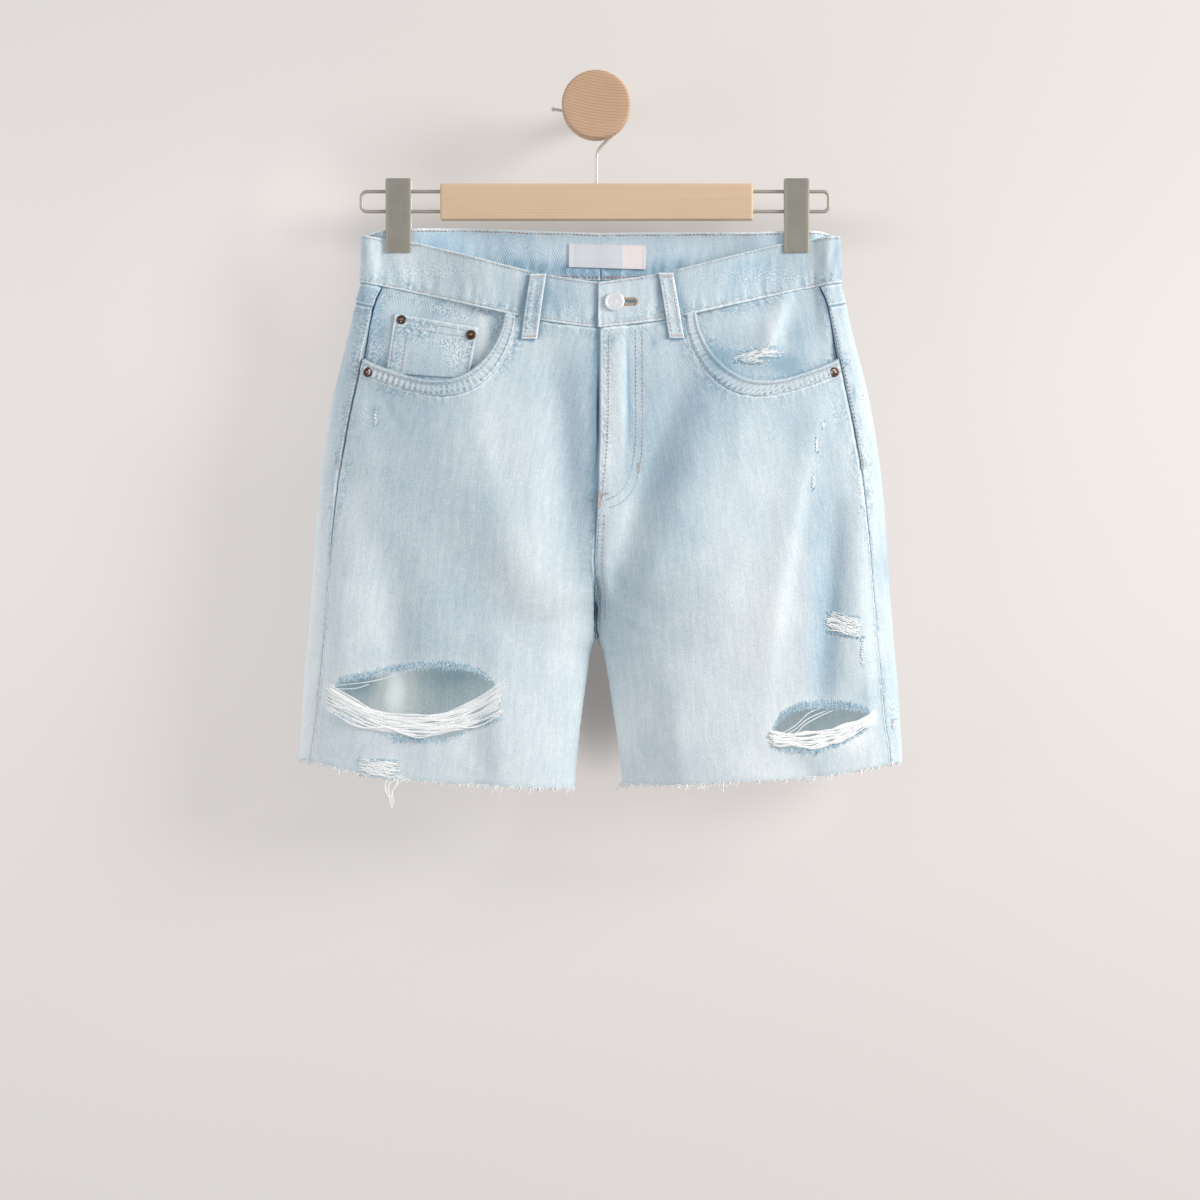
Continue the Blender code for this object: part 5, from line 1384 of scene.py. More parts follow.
def threads(name, parts, finish, *nodes, slot_name="denim"):
    """One piece from many threads or wires."""
    finished(piece(name, *joined(parts), (finish,)), slot_name, *nodes)


def sewing(name, finish, lines):
    """One piece from all the stitch lines of a colour."""
    threads(name, [stitched(line) for line in lines], finish)


def along(rows, count=60):
    """A smooth line through a short list of places, by running length: its coordinates."""
    rows = np.asarray(rows, float)
    length = arc_length(rows, 0)
    at = np.linspace(0, length[-1], count)
    return [smooth(length, column, at) for column in rows.T]


def bar_tack(side, across, drop, wide, tall, lift):
    """A block of close stitches: upright threads side by side across a small box."""
    at = across + np.linspace(-0.5, 0.5, max(int(wide / 0.55), 3))[:, None] * wide
    return tubes(front_line(side, at, drop + np.linspace(-0.5, 0.5, 4) * tall, lift), 0.3, 5)


def band_line(side, edge, offset, start, end, inner=False):
    """A line along the band at a distance from one of its edges, on its outside or inside."""
    across = np.linspace(start, end, 240)
    drop = (back_top(side, across) if edge == "back_top" else waist_at(edge, across)) + offset
    if edge.startswith("front"):
        return front_line(side, across, drop, band_lift(side, across, True) + 0.02)
    return back_line(side, across, drop, BAND_PROUD - BAND - 0.1 if inner else BAND_PROUD + 0.02)


def band_front_lines():
    """Whitish thread along both edges of the band in front."""
    for side, start in ((RIGHT, 3), (LEFT, 1)):
        yield band_line(side, "front_top", 2.2, start, 209)
        yield band_line(side, "front_low", -2.7, start, 209)


def band_inside_lines():
    """Rust thread on the inner face of the back band."""
    for edge, offsets in (("back_top", (2.6,)), ("back_low", (-3.2, -2))):
        for side in (RIGHT, LEFT):
            for offset in offsets:
                yield band_line(side, edge, offset, 1, 205, True)


def front_stitch_lines():
    """Pale thread in front: pocket hems, coin pocket, fly, side seams and loops."""
    for side in (RIGHT, LEFT):
        for share, lift in ((0.26, 1.45), (0.80, 1.25)):
            across, drop = pocket_edge(0.2, share, 160)
            keep = (drop > waist_at("front_low", across) + 1) & (across < seam_across(drop) - 2)
            across, drop = across[keep], drop[keep]
            yield front_line(side, across, drop, lift + gape(across, drop))
        drop = np.linspace(160, 312, 90)
        yield front_line(side, seam_across(drop) + 2.2, drop, 0.15)
    mouth = [(np.linspace(0.03, 0.97, 60), v, 0.5) for v in (0.10, 0.225)]
    sides = [(u, np.linspace(0.02, 0.98, 40), 0.05) for u in (COIN_EDGE, 1 - COIN_EDGE)]
    inset = (4.2 * COIN_EDGE, np.linspace(0.36, 0.98, 40), 0.05)
    for u, v, proud in (*mouth, *sides, inset):
        across, drop = coin_place(u, v)
        yield front_line(RIGHT, across, drop, 0.45 + PATCH_CLOTH - pocket_recess(across, drop) + proud)
    fly_lines = (
        ((7.5, 197), (7.5, 250), (6, 300), (3.5, 345)),
        ((36.3, 196), (36.5, 250), (36.3, 305), (33.9, 320), (30.4, 335), (19.8, 347.6), (7.5, 353.4)),
        ((30.4, 195), (30.8, 250), (30.4, 298), (28.5, 314), (25, 328), (17, 340), (6, 346)),
        ((2.2, 357), (2.6, 400), (2.4, 452)),
        ((6.8, 357), (7.2, 400), (6.6, 452)),
    )
    for rows in fly_lines:
        across, drop = along(rows)
        yield front_line(LEFT, across, drop, fly_lift(across, drop) + 0.1)


def pocket_line(side, u, v, lift):
    return back_line(side, *back_pocket_place(u, v), lift)


def back_stitch_lines():
    """Pale thread behind: band, yoke seam, centre seam and hip pockets."""
    share = np.linspace(0, 1, 80)
    for side in (RIGHT, LEFT):
        yield band_line(side, "back_top", 2.6, 1, 209)
        yield band_line(side, "back_low", -2.7, 1, 209)
        for offset in (1.9, 8.4):
            turn = np.linspace(math.pi + 0.05, 1.5 * math.pi, 200)
            drop = yoke_edge(0, turn) + offset
            across = across_of(turn, drop)
            yield back_line(side, across[across > 1], drop[across > 1], 0.1)
        for offset in (2.2, 7.6):
            inset_u, inset_v = offset / 130, offset / 135
            yield pocket_line(side, inset_u, 0.01 + share * (0.99 - inset_v), 1.95)
            yield pocket_line(side, inset_u + share * (1 - 2 * inset_u), 1 - inset_v, 1.95)
            yield pocket_line(side, 1 - inset_u, (0.99 - inset_v) * (1 - share), 1.95)
        yield pocket_line(side, np.linspace(0.02, 0.98, 80), 0.105, 2.3)
    for across in (2.2, 8):
        yield back_line(LEFT, across, np.linspace(156, 440, 160), 0.15)


def loop_stitch_lines():
    share = np.linspace(0.03, 0.97, 60)
    for _, *of in LOOPS:
        for beside in (-0.29, 0.29):
            turn, drop, lift = loop_surface(*of, share, beside)
            yield shell(of[0], turn, drop, lift - 0.05)


def bar_tacks():
    """Close stitching at the loops' ends, beside the fly and at the foot of the side stitching."""
    for _, *of in LOOPS:
        beside = np.linspace(-0.5, 0.5, max(int(of[-1] / 0.5), 3))[:, None] * 0.86
        for share in (0.045, 0.955):
            turn, drop, lift = loop_surface(*of, share + np.array([-0.016, 0, 0.016]), beside)
            yield tubes(shell(of[0], turn, drop, lift + 0.5), 0.28, 5)
    yield bar_tack(LEFT, 34.2, 317, 2.4, 8.5, 0.35)
    for side in (RIGHT, LEFT):
        yield bar_tack(side, seam_across(313) + 1.2, 313, 1.8, 9, 0.4)


def fly_tacks():
    """Two close rows in a corner at the foot of the fly."""
    return bar_tack(LEFT, 1.8, 346, 2, 13, 3.1), bar_tack(LEFT, 5, 339.5, 7.4, 1.8, 3.1)


def buttonhole_threads():
    """Close stitches square to the slot's edge, all round it."""
    reach, end = BUTTONHOLE_HALF, BUTTONHOLE_END - BUTTONHOLE_HALF
    straight = np.linspace(BUTTON_ACROSS + BUTTON_RADIUS - 1, end, 22)
    around = np.radians(np.linspace(90, -90, 9))
    across, far = (
        np.concatenate([straight, end + reach * by * np.cos(around), straight[::-1]])[:, None]
        for by in (1, 2.1)
    )
    up = np.concatenate([np.full(22, reach), reach * np.sin(around), np.full(22, -reach)])[:, None]
    share = np.array([-0.1, 0.5, 1])
    at = across + share * (far - across)
    lift = band_lift(LEFT, at, True) + np.array([-0.3, 0.3, 0])
    return tubes(front_line(LEFT, at, BUTTON_DROP - up * (1 + 1.1 * share), lift), 0.36, 5)


# ---- button and rivets
def outward(side, across, drop, lift):
    """A place on the front and the way out of it."""
    seat, tip = front_line(side, across, drop, np.array([lift, lift + 1]))
    return seat, tip - seat


BUTTON_PROFILE = (  # radius, height above the cloth
    (0, -3.7), (1.5, -3.7), (1.5, 0.5), (7.5, 0.6), (8.1, 0.9), (8.4, 1.4), (8.4, 1.9), (8.1, 2.4),
    (7.6, 2.75), (7, 2.85), (6.6, 2.8), (6.3, 2.62), (6, 2.6), (5.6, 2.62), (3.2, 2.68), (3, 2.62),
    (2.7, 2.62), (2.5, 2.68), (1, 2.72), (0, 2.72),
)  # fmt: skip
RIVET_PROFILE = (
    (0, -0.4), (4, -0.4), (4.35, 0.1), (4.35, 0.6), (3.9, 1.1), (3.3, 1.25), (2.7, 1.1), (2.3, 0.75),
    (1.7, 0.7), (1.55, 0.9), (1.5, 1.3), (1.2, 1.6), (0.6, 1.8), (0, 1.85),
)  # fmt: skip
RIVETS = (  # node, side, across, drop, height of the cloth under it
    ("rivet_pocket_right", RIGHT, 203.2, 233, 1.35),
    ("rivet_pocket_left", LEFT, 203.9, 232.9, 1.35),
    ("rivet_coin_outer", RIGHT, 174.5, 186.8, 0.9),
    ("rivet_coin_inner", RIGHT, 113.4, 200.2, -1),
)


def studs():
    seat, axis = outward(LEFT, BUTTON_ACROSS, BUTTON_DROP, BAND_PROUD + 1)
    made = piece("button_head", *turned(BUTTON_PROFILE, seat, axis, 64), (SILVER,))
    finished(made, "silver", "waist_button")
    for node, side, across, drop, lift in RIVETS:
        seat, axis = outward(side, across, drop, lift)
        points, faces = turned(RIVET_PROFILE, seat, axis, 28)
        from_seat = points - seat
        reach = np.linalg.norm(from_seat - (from_seat @ axis)[:, None] * axis, axis=1)
        # A paler worn centre, which the rim map also makes glow: real wear with painted light.
        worn = 0.26 * np.exp(-((reach / 1.2) ** 4))
        made = piece(node + "_cap", points, faces, (COPPER,), {"rim": np.stack([worn, 0 * worn], axis=-1)})
        finished(made, "copper", node)


# ---- frayed edges and rips
def curled(roots, directions, lengths, seed):
    """Loose yarn ends: root + length * (share * direction + share^2 * a sideways swing + a twist)."""
    random = np.random.default_rng(seed)
    share = np.linspace(0, 1, 5)[None, :, None]
    swing = random.normal(0, 1, (len(roots), 1, 3)) * 0.18
    twist = random.normal(0, 1, (len(roots), 1, 3)) * 0.18 * 0.5
    bend = swing * share**2 + twist * np.sin(share * math.pi * 1.5) * share
    return roots[:, None, :] + lengths[:, None, None] * (directions[:, None, :] * share + bend)


def leg_fringe(side, count, seed, longest, shortest=0.8, stout=1):
    """Yarn ends under the raw hem, all round the leg: mostly short, leaning one way, in loose bunches."""
    random = np.random.default_rng(seed)
    turn = np.sort(random.uniform(0, 2 * math.pi, count))
    turn = turn + 0.03 * np.sin(turn * 31)
    drop = settle(lambda a, t: hem_at(side, a), lambda d: turn, 585 + 0 * turn)
    roots = shell(side, turn, drop - 0.7, -random.uniform(0.2, CLOTH - 0.2, count))
    lengths = shortest + longest * random.power(0.5, count)
    lean = np.stack([random.normal(-0.6, 0.4, count), random.normal(0, 0.3, count), -np.ones(count)], axis=1)
    lean /= np.linalg.norm(lean, axis=1, keepdims=True)
    radii = stout * random.uniform(0.2, 0.42, (count, 1)) * np.linspace(1.15, 0.5, 5)
    return tubes(curled(roots, lean, lengths, seed + 1), radii, 3)


TUFT = (  # a bunch of long yarns under the right leg, as (across, drop) lines
    ((170, 586), (178, 588), (184.5, 593), (184, 602), (181.5, 612)),
    ((168, 587.5), (174, 590), (180, 596), (182.5, 604), (182.8, 610)),
    ((172.5, 585), (181, 586.5), (187, 590), (187.5, 595), (183, 600)),
    ((176, 586), (178, 593), (181.5, 600), (180.5, 606), (182, 613)),
    ((180, 585.5), (186.5, 589), (187.6, 596), (184.5, 603), (183, 608)),
)  # fmt: skip


def hem_fringe(side):
    rows = ((620, 50, 4.4), (1300, 60, 1.3), (560, 65, 2.6, 1.6, 1.5), (170, 70, 4.2, 3.4, 1.7))
    parts = [leg_fringe(side, count, seed + side, *sizes) for count, seed, *sizes in rows]
    if side == RIGHT:
        paths = [front_line(RIGHT, *along(line, 16), -0.4) for line in TUFT]
        parts.append(tubes(paths, 0.62 * np.linspace(1.1, 0.7, 16), 5))
    threads(f"hem_threads_{WORD[side]}", parts, WHITE_YARN, f"hem_fray_{WORD[side]}", slot_name="raw_yarn")


def tufts(side, across, drop, heading, lengths, lift, seed, radius=0.24, loose=1):
    """Short yarn ends on the front, each towards its heading in degrees from level. Loose ones curl more."""
    random = np.random.default_rng(seed)
    count = len(across)
    heading = np.radians(heading + random.normal(0, 24 * loose, count))
    lengths = lengths * random.uniform(0.45, 1.25, count)
    end_across, end_drop = across + np.cos(heading) * lengths, drop - np.sin(heading) * lengths
    start = front_line(side, across, drop, lift)
    end = front_line(side, end_across, end_drop, lift + loose * random.uniform(0.1, 0.9, count))
    swing = random.normal(0, 0.35 * loose, (count, 1, 3))
    share = np.linspace(0, 1, 5)[None, :, None]
    paths = start[:, None] + share * (end - start)[:, None] + swing * np.sin(share * math.pi)
    radii = radius * random.uniform(0.7, 1.3, (count, 1)) * np.linspace(1, 0.6, 5)
    return tubes(paths, radii, 3)


YARNS = {  # first, middle and last place of the bundle: across, upper and lower drop
    RIGHT: ((237.5, 504.5, 528), (160, 533, 549), (87.5, 503.5, 532.5)),
    LEFT: ((238.5, 528.5, 537), (194, 545.5, 558), (148.5, 545.5, 559)),
}


def rip_bundle(side, ropes, seed):
    """White weft yarns that hang across a rip, a few to each rope. A yarn is the straight line between its
    ends plus a parabola of sag, its rope's slow wave and its own. The lower ropes lie in front of the rim."""
    random = np.random.default_rng(seed)
    each = 3
    count = ropes * each
    share = np.linspace(-1, 1, 34)

    def of_rope(values):
        return np.repeat(values, each)[:, None]

    level = of_rope((np.arange(ropes) + random.uniform(0.2, 0.8, ropes)) / ropes)
    level = level + random.normal(0, 0.18 / ropes, (count, 1))
    start, middle, end = (upper + level * (lower - upper) for _, upper, lower in YARNS[side])
    phase = of_rope(random.uniform(0, 6, ropes))
    wave = of_rope(random.normal(0, 1.8, ropes)) * np.sin(share * 3.4 + phase)
    wave += of_rope(random.normal(0, 0.7, ropes)) * np.sin(share * 9 + 2 * phase)
    wave += random.normal(0, 0.7, (count, 1)) * np.sin(share * 8 + random.uniform(0, 6, (count, 1)))
    line = start + (end - start) * (share + 1) / 2
    drop = line + (middle - (start + end) / 2) * (1 - np.abs(share) ** 2.1) + wave * (1 - share**6)
    reach = random.uniform(-2.5, 2.5, (count, 2, 1))
    first, last = YARNS[side][0][0] + reach[:, 0], YARNS[side][2][0] + reach[:, 1]
    inside = 1 - np.abs(share) ** 5
    depth = 0.7 + inside * (2.4 * level - 1.9) + random.uniform(-0.5, 0.5, (count, 1))
    radii = random.uniform(0.4, 0.85, (count, 1)) * (1 + 0.22 * np.sin(share * 23 + level * 90))
    return tubes(front_line(side, first + (last - first) * (share + 1) / 2, drop, depth), radii, 6)


LOOSE = {  # free threads, as (across, drop) lines
    RIGHT: (
        ((233, 507), (221, 505.5), (204, 503.5), (187, 500), (172, 494.5), (158, 491), (142, 489)),
        ((235, 508), (226, 509.5), (214, 509), (202, 505.5)),
    ),
    LEFT: (
        ((156, 548), (163, 545), (171, 539.5), (181, 530.5), (190, 526.5)),
        ((158, 550), (168, 545), (180, 535.5), (196, 528.5)),
        ((160, 551), (170, 547.5), (176, 541.5), (185, 536), (202, 528)),
    ),
}


def rip_threads(side):
    """The bundle, its few free threads and the white ends in the rim."""
    parts = [rip_bundle(side, 15 if side == RIGHT else 9, 80 + side)]
    for k, line in enumerate(LOOSE[side]):
        lift = np.linspace(0.2, -1.2, 24) + 0.2 * k
        parts.append(tubes(front_line(side, *along(line, 24), lift)[None], 0.38, 5))
    parts += [*rim_tufts(side, 170, 90 + side, 0.15), *worn_threads(side)]
    threads(f"rip_threads_{WORD[side]}", parts, WHITE_YARN, f"rip_yarns_{WORD[side]}", slot_name="raw_yarn")


def rim_tufts(side, count, seed, radius):
    """Ends of warp yarns round a rip: pointing up and down over a narrow band outside both edges."""
    rip = RIPS[side]
    random = np.random.default_rng(seed)
    for edge, sign, some, wide in (("upper", -1, count, 4.4), ("lower", 1, int(0.4 * count), 1.8)):
        share = random.uniform(0, 1, some)
        across = rip["across"][0] + share * (rip["across"][-1] - rip["across"][0])
        band = random.uniform(0, wide, some) * np.sin(math.pi * share) ** 0.4
        drop = read(rip, edge, across) + sign * band
        heading = np.where(random.uniform(0, 1, some) < 0.5, 90, -90)
        lengths = 5 * random.uniform(0.35, 0.8, some)
        yield tufts(side, across, drop, heading, lengths, 0.12, seed + 3 + sign, radius, 0.45)


WORN = {  # small worn places under level threads: seed, across, drop, width, height, threads, tilt
    RIGHT: ((120, 193, 578.5, 36, 13, 46, -0.04), (127, 196.5, 272, 3, 12, 4, 0)),
    LEFT: (
        (121, 211.5, 453.5, 30, 16, 34, 0.16), (122, 228.4, 477, 4, 22, 9, 0),
        (123, 256, 541, 3.5, 7, 4, 0), (124, 193.7, 279, 3, 5, 3, 0),
        (125, 188.2, 297, 2.6, 11, 6, 0), (126, 185, 329, 3.4, 10, 6, 0.1),
        (128, 137, 217, 40, 7, 15, -0.12), (129, 132, 222, 20, 4, 6, 0.1),
    ),
}  # fmt: skip


def worn_threads(side):
    """Level white threads over each worn place: straight lines with a little wave."""
    share = np.linspace(-0.5, 0.5, 12)
    for seed, across, drop, wide, tall, count, tilt in WORN[side]:
        random = np.random.default_rng(seed)
        level = ((np.arange(count) + 0.5) / count - 0.5)[:, None]
        reach = wide * random.uniform(0.5, 1.1, (count, 1)) * (1 - 0.5 * np.abs(level))
        at = across + share * reach + random.normal(0, wide * 0.06, (count, 1))
        down = drop + level * tall + tilt * share * wide
        down = down + random.normal(0, 0.07, (count, 1)) * share * wide
        down = down + 0.7 * np.sin(share * 9 + random.uniform(0, 6, (count, 1)))
        lift = 0.35 + random.uniform(0, 0.6, (count, 1)) * (1 - 4 * share**2)
        lift = lift - (pocket_recess(at, down) if drop < 240 else 0)
        yield tubes(front_line(side, at, down, lift), random.uniform(0.28, 0.5, (count, 1)), 5)


def worn_tufts(side, seed):
    """Blue warp ends above and below each worn place."""
    for _, across, drop, wide, tall, _, tilt in WORN[side]:
        random = np.random.default_rng(seed + int(across))
        count = int(wide * 2.6)
        share = random.uniform(-0.5, 0.5, count)
        sign = np.where(random.uniform(0, 1, count) < 0.5, -1, 1)
        at = across + share * wide
        down = drop + sign * (tall * 0.55 + random.uniform(0, 2, count)) + tilt * share * wide
        lift = 0.15 - (pocket_recess(at, down) - 0.3 if drop < 240 else 0)
        yield tufts(side, at, down, 90 * sign, 2.6, lift, seed + 1, 0.25)


PATCHES = {  # where blue ends show below the bundles: across, drop, width, height, tilt, ends
    RIGHT: ((163, 552.5, 31, 4.5, -0.06, 54), (94.5, 535.5, 17, 5, 0.3, 50), (224, 533, 16, 5, -0.3, 26)),
    LEFT: ((177, 562.5, 30, 3.5, 0.12, 34), (227, 545, 13, 3, -0.4, 20)),
}


def blue_patches(side, seed):
    """Thick blue ends in all directions, over the lower edge of a bundle."""
    for across, drop, wide, tall, tilt, count in PATCHES[side]:
        random = np.random.default_rng(seed + int(across))
        beside = random.uniform(-0.5, 0.5, count) * wide
        down = drop + tilt * beside + random.uniform(-0.5, 0.5, count) * tall
        heading = random.choice([-90, -60, -120, 40], count)
        lift = random.uniform(0.6, 1.6, count)
        yield tufts(side, across + beside, down, heading, 3.2, lift, seed + 1, 0.27)


def blue_ends(side):
    parts = [*rim_tufts(side, 760, 200 + side, 0.17), *worn_tufts(side, 230), *blue_patches(side, 260)]
    threads(f"blue_ends_{WORD[side]}", parts, BLUE_YARN)


# ---- hanger and wall peg
PEG_RADIUS, DISC_RADIUS = 9, 30
DISC_BACK_Y, DISC_FRONT_Y = -72, -92
BAR_WIDTH, BAR_TOP_DROP, BAR_LOW_DROP, BAR_THICK = 275, 66, 98, 12
WIRE_RADIUS, WIRE_TOP_DROP, WIRE_LOW_DROP, WIRE_END = 1.6, 72.6, 90.2, 206
CLIP_TOP_DROP, CLIP_SHEET = 61.6, 1.2
HOOK_RADIUS, HOOK_ARC_RADIUS = 1.4, 20


def carried(section, x, drop, length, step, radius, inset):
    """A closed section (y, z) carried along X about (x, drop), times 1 - rounding / inset at its ends."""
    share = spaced(length, step)
    rings = section * (1 - rounded(share, length, radius)[:, None, None] / inset)
    along_x = x + (share - 0.5)[:, None] * length + 0 * rings[..., 0]
    points = np.stack([along_x, HANG_Y + rings[..., 0], rings[..., 1] - drop], axis=-1).reshape(-1, 3)
    faces = [grid_faces(*rings.shape[:2], closed=True), *caps(len(section), len(share))]
    return points, outwards(points, faces)


def hanger_bar():
    """A slat whose section is a rounded rectangle."""
    radius = 1.8
    half = np.array([BAR_THICK, BAR_LOW_DROP - BAR_TOP_DROP]) / 2
    middles = [half * signs - radius * np.array(signs) for signs in ((1, 1), (-1, 1), (-1, -1), (1, -1))]
    section = [point for k, at in enumerate(middles) for point in arc(at, radius, 90 * k, 90 * k + 90, 7)]
    drop = (BAR_TOP_DROP + BAR_LOW_DROP) / 2
    slat = carried(np.array(section), HANGER_X, drop, BAR_WIDTH, 12, 1.6, half)
    finished(piece("bar_slat", *slat, (BAR_WOOD,), sharp=60), "beech", "hanger_bar")


def ring_arc(centre, radius, start, end, count):
    return [(x, HANG_Y, z) for x, z in arc(centre, radius, start, end, count)]


def hanger_wire(side):
    corner, start = 5, HANGER_X + side * (BAR_WIDTH / 2 - 10)
    turn_x = HANGER_X + side * (WIRE_END - WIRE_RADIUS - corner + (2.6 if side == RIGHT else 0))
    upper = ring_arc((turn_x, -WIRE_TOP_DROP - corner), corner, 90, 90 - side * 90, 10)
    lower = ring_arc((turn_x, -WIRE_LOW_DROP + corner), corner, 90 - side * 90, 90 - side * 180, 10)
    path = [(start, HANG_Y, -WIRE_TOP_DROP), *upper, *lower, (start, HANG_Y, -WIRE_LOW_DROP)]
    made = piece(f"wire_loop_{WORD[side]}", *tubes([path], WIRE_RADIUS, 16), (LOOP_WIRE,))
    finished(made, "nickel", f"hanger_wire_{WORD[side]}")


def hanger_hook():
    """From the bar up, a bend to the wearer's left, over the peg and down to a small outward tip."""
    top = PEG_RADIUS + 0.3 + HOOK_RADIUS
    neck = [(0, -76), (0, -43.5), (0.5, -39.5), (1.9, -36), (4.6, -32.2), (8.9, -28)]
    tip = [(-20.4, -2.8), (-24.5, -3.2), (-29.5, -1.6), (-34, -0.6), (-38, -0.2)]
    rows = [(HANGER_X + x, HANG_Y, z) for x, z in neck]
    rows += ring_arc((0, top - HOOK_ARC_RADIUS), HOOK_ARC_RADIUS, -32, 152, 40)
    rows += [(x, HANG_Y, z) for x, z in tip]
    path = np.stack(along(rows, 170), axis=-1)
    ball = [(0, -1.9), (1.2, -1.5), (1.8, -0.7), (1.9, 0.1), (1.6, 1), (0.9, 1.6), (0, 1.8)]
    end = turned(ball, path[-1], path[-1] - path[-3], 16)
    threads("hook_wire", [tubes(path[None], HOOK_RADIUS, 16), end], WIRE, "hanger_hook", slot_name="nickel")


def clip_plate(x, rows, sign):
    """One sprung plate: a sheet whose distance from the hanger's plane follows its rows of (reach, drop)."""
    reach, drop = np.array(rows, float).T
    tall = CLIP_LOW_DROP - CLIP_TOP_DROP
    share, beside = spaced(tall, 1.6)[:, None], spaced(CLIP_WIDTH, 2) - 0.5
    at = CLIP_TOP_DROP + share * tall
    fall = np.maximum(rounded(beside + 0.5, CLIP_WIDTH, 0.8), rounded(share, tall, 0.6))
    depth = smooth(drop, reach, at) + 0 * beside
    across = x + beside * (CLIP_WIDTH - 2 * rounded(share, tall, 1.6))
    outer, inner = (
        np.stack([across, HANG_Y + sign * y, 0 * beside - at], axis=-1)
        for y in (depth + CLIP_SHEET - fall, depth + fall * 0.4)
    )
    points, faces, _ = closed_wall(outer, inner)
    to_edge = (0.5 - np.abs(beside)) * CLIP_WIDTH + 0 * depth
    # Painted highlight along the front plate's side edges and over its lower end; the second value dulls the
    # edges.
    rim = np.clip(bell(to_edge, 0.5) + ease(0.8, 1, share) * 0.3, 0, 1) * (sign > 0)
    shine = np.stack([rim, bell(to_edge, 1.8)], axis=-1).reshape(-1, 2)
    return points, outwards(points, faces), np.tile(shine, (2, 1))


def hanger_clip(side):
    """Two plates and the block between them that the wire's runs pass through."""
    x = CLIP_RIGHT_X if side == RIGHT else CLIP_LEFT_X
    jaw = BAND + 0.6
    rows = ((6.2, 61.6), (5.3, 68.4), (3.4, 94.4), (jaw, 115.8), (jaw, 126.8))
    corners = np.radians(np.arange(0, 360, 15))
    section = np.stack([np.cos(corners), np.sin(corners)], axis=-1)
    section = np.sign(section) * np.abs(section) ** 0.35 * [3.9, 13]
    middle = (WIRE_TOP_DROP + WIRE_LOW_DROP) / 2
    block = carried(section, x, middle, CLIP_WIDTH - 1.6, 4, 0.5, 3)
    *front, front_shine = clip_plate(x, rows, 1)
    *back, back_shine = clip_plate(x, rows, -1)
    highlight_rims = np.concatenate([np.tile([0, 1], (len(block[0]), 1)), front_shine, back_shine])
    made = piece(f"clip_{WORD[side]}", *joined([block, front, back]), (NICKEL,), {"rim": highlight_rims}, sharp=40)
    finished(made, "nickel", f"hanger_clip_{WORD[side]}")


def wall_peg():
    """A dowel from the wall and a thick round disc with softened edges."""
    back, front = -DISC_BACK_Y, -DISC_FRONT_Y
    profile = [(0, 0), (PEG_RADIUS, 0), (PEG_RADIUS, back - 0.4), (PEG_RADIUS + 0.4, back)]
    profile += [(DISC_RADIUS - 1.6, back), (DISC_RADIUS - 0.5, back + 0.5), (DISC_RADIUS, back + 1.6)]
    profile += arc((DISC_RADIUS - 2.2, front - 2.2), 2.2, 0, 90, 7)
    profile += [(DISC_RADIUS - 8, front), (DISC_RADIUS / 2, front), (0, front)]
    made = piece("knob", *turned(profile, (0, 0, 0), (0, -1, 0), 96), (PEG_WOOD,), sharp=35)
    finished(made, "beech", "wall_peg")


# ---- all the pieces
for side in (RIGHT, LEFT):
    front_panel(side)
    back_panel(side)
    yoke(side)
    waistband(side)
    pocket_facing(side)
    pocket_hem(side)
    back_pocket(side)
    hem_fringe(side)
    rip_threads(side)
    blue_ends(side)
    hanger_wire(side)
    hanger_clip(side)
coin_pocket()
for row in LOOPS:
    belt_loop(*row)
waist_label()
studs()
sewing("front_stitches", PALE_THREAD, front_stitch_lines())
sewing("band_front_stitches", BAND_THREAD, band_front_lines())
sewing("back_stitches", PALE_THREAD, back_stitch_lines())
sewing("loop_stitches", PALE_THREAD, loop_stitch_lines())
sewing("band_stitches", RUST_THREAD, band_inside_lines())
threads("bar_tacks", bar_tacks(), BAND_THREAD)
threads("buttonhole_edge", [buttonhole_threads()], TAN_THREAD)
threads("fly_tacks", fly_tacks(), TACK_THREAD)
hanger_bar()
hanger_hook()
wall_peg()

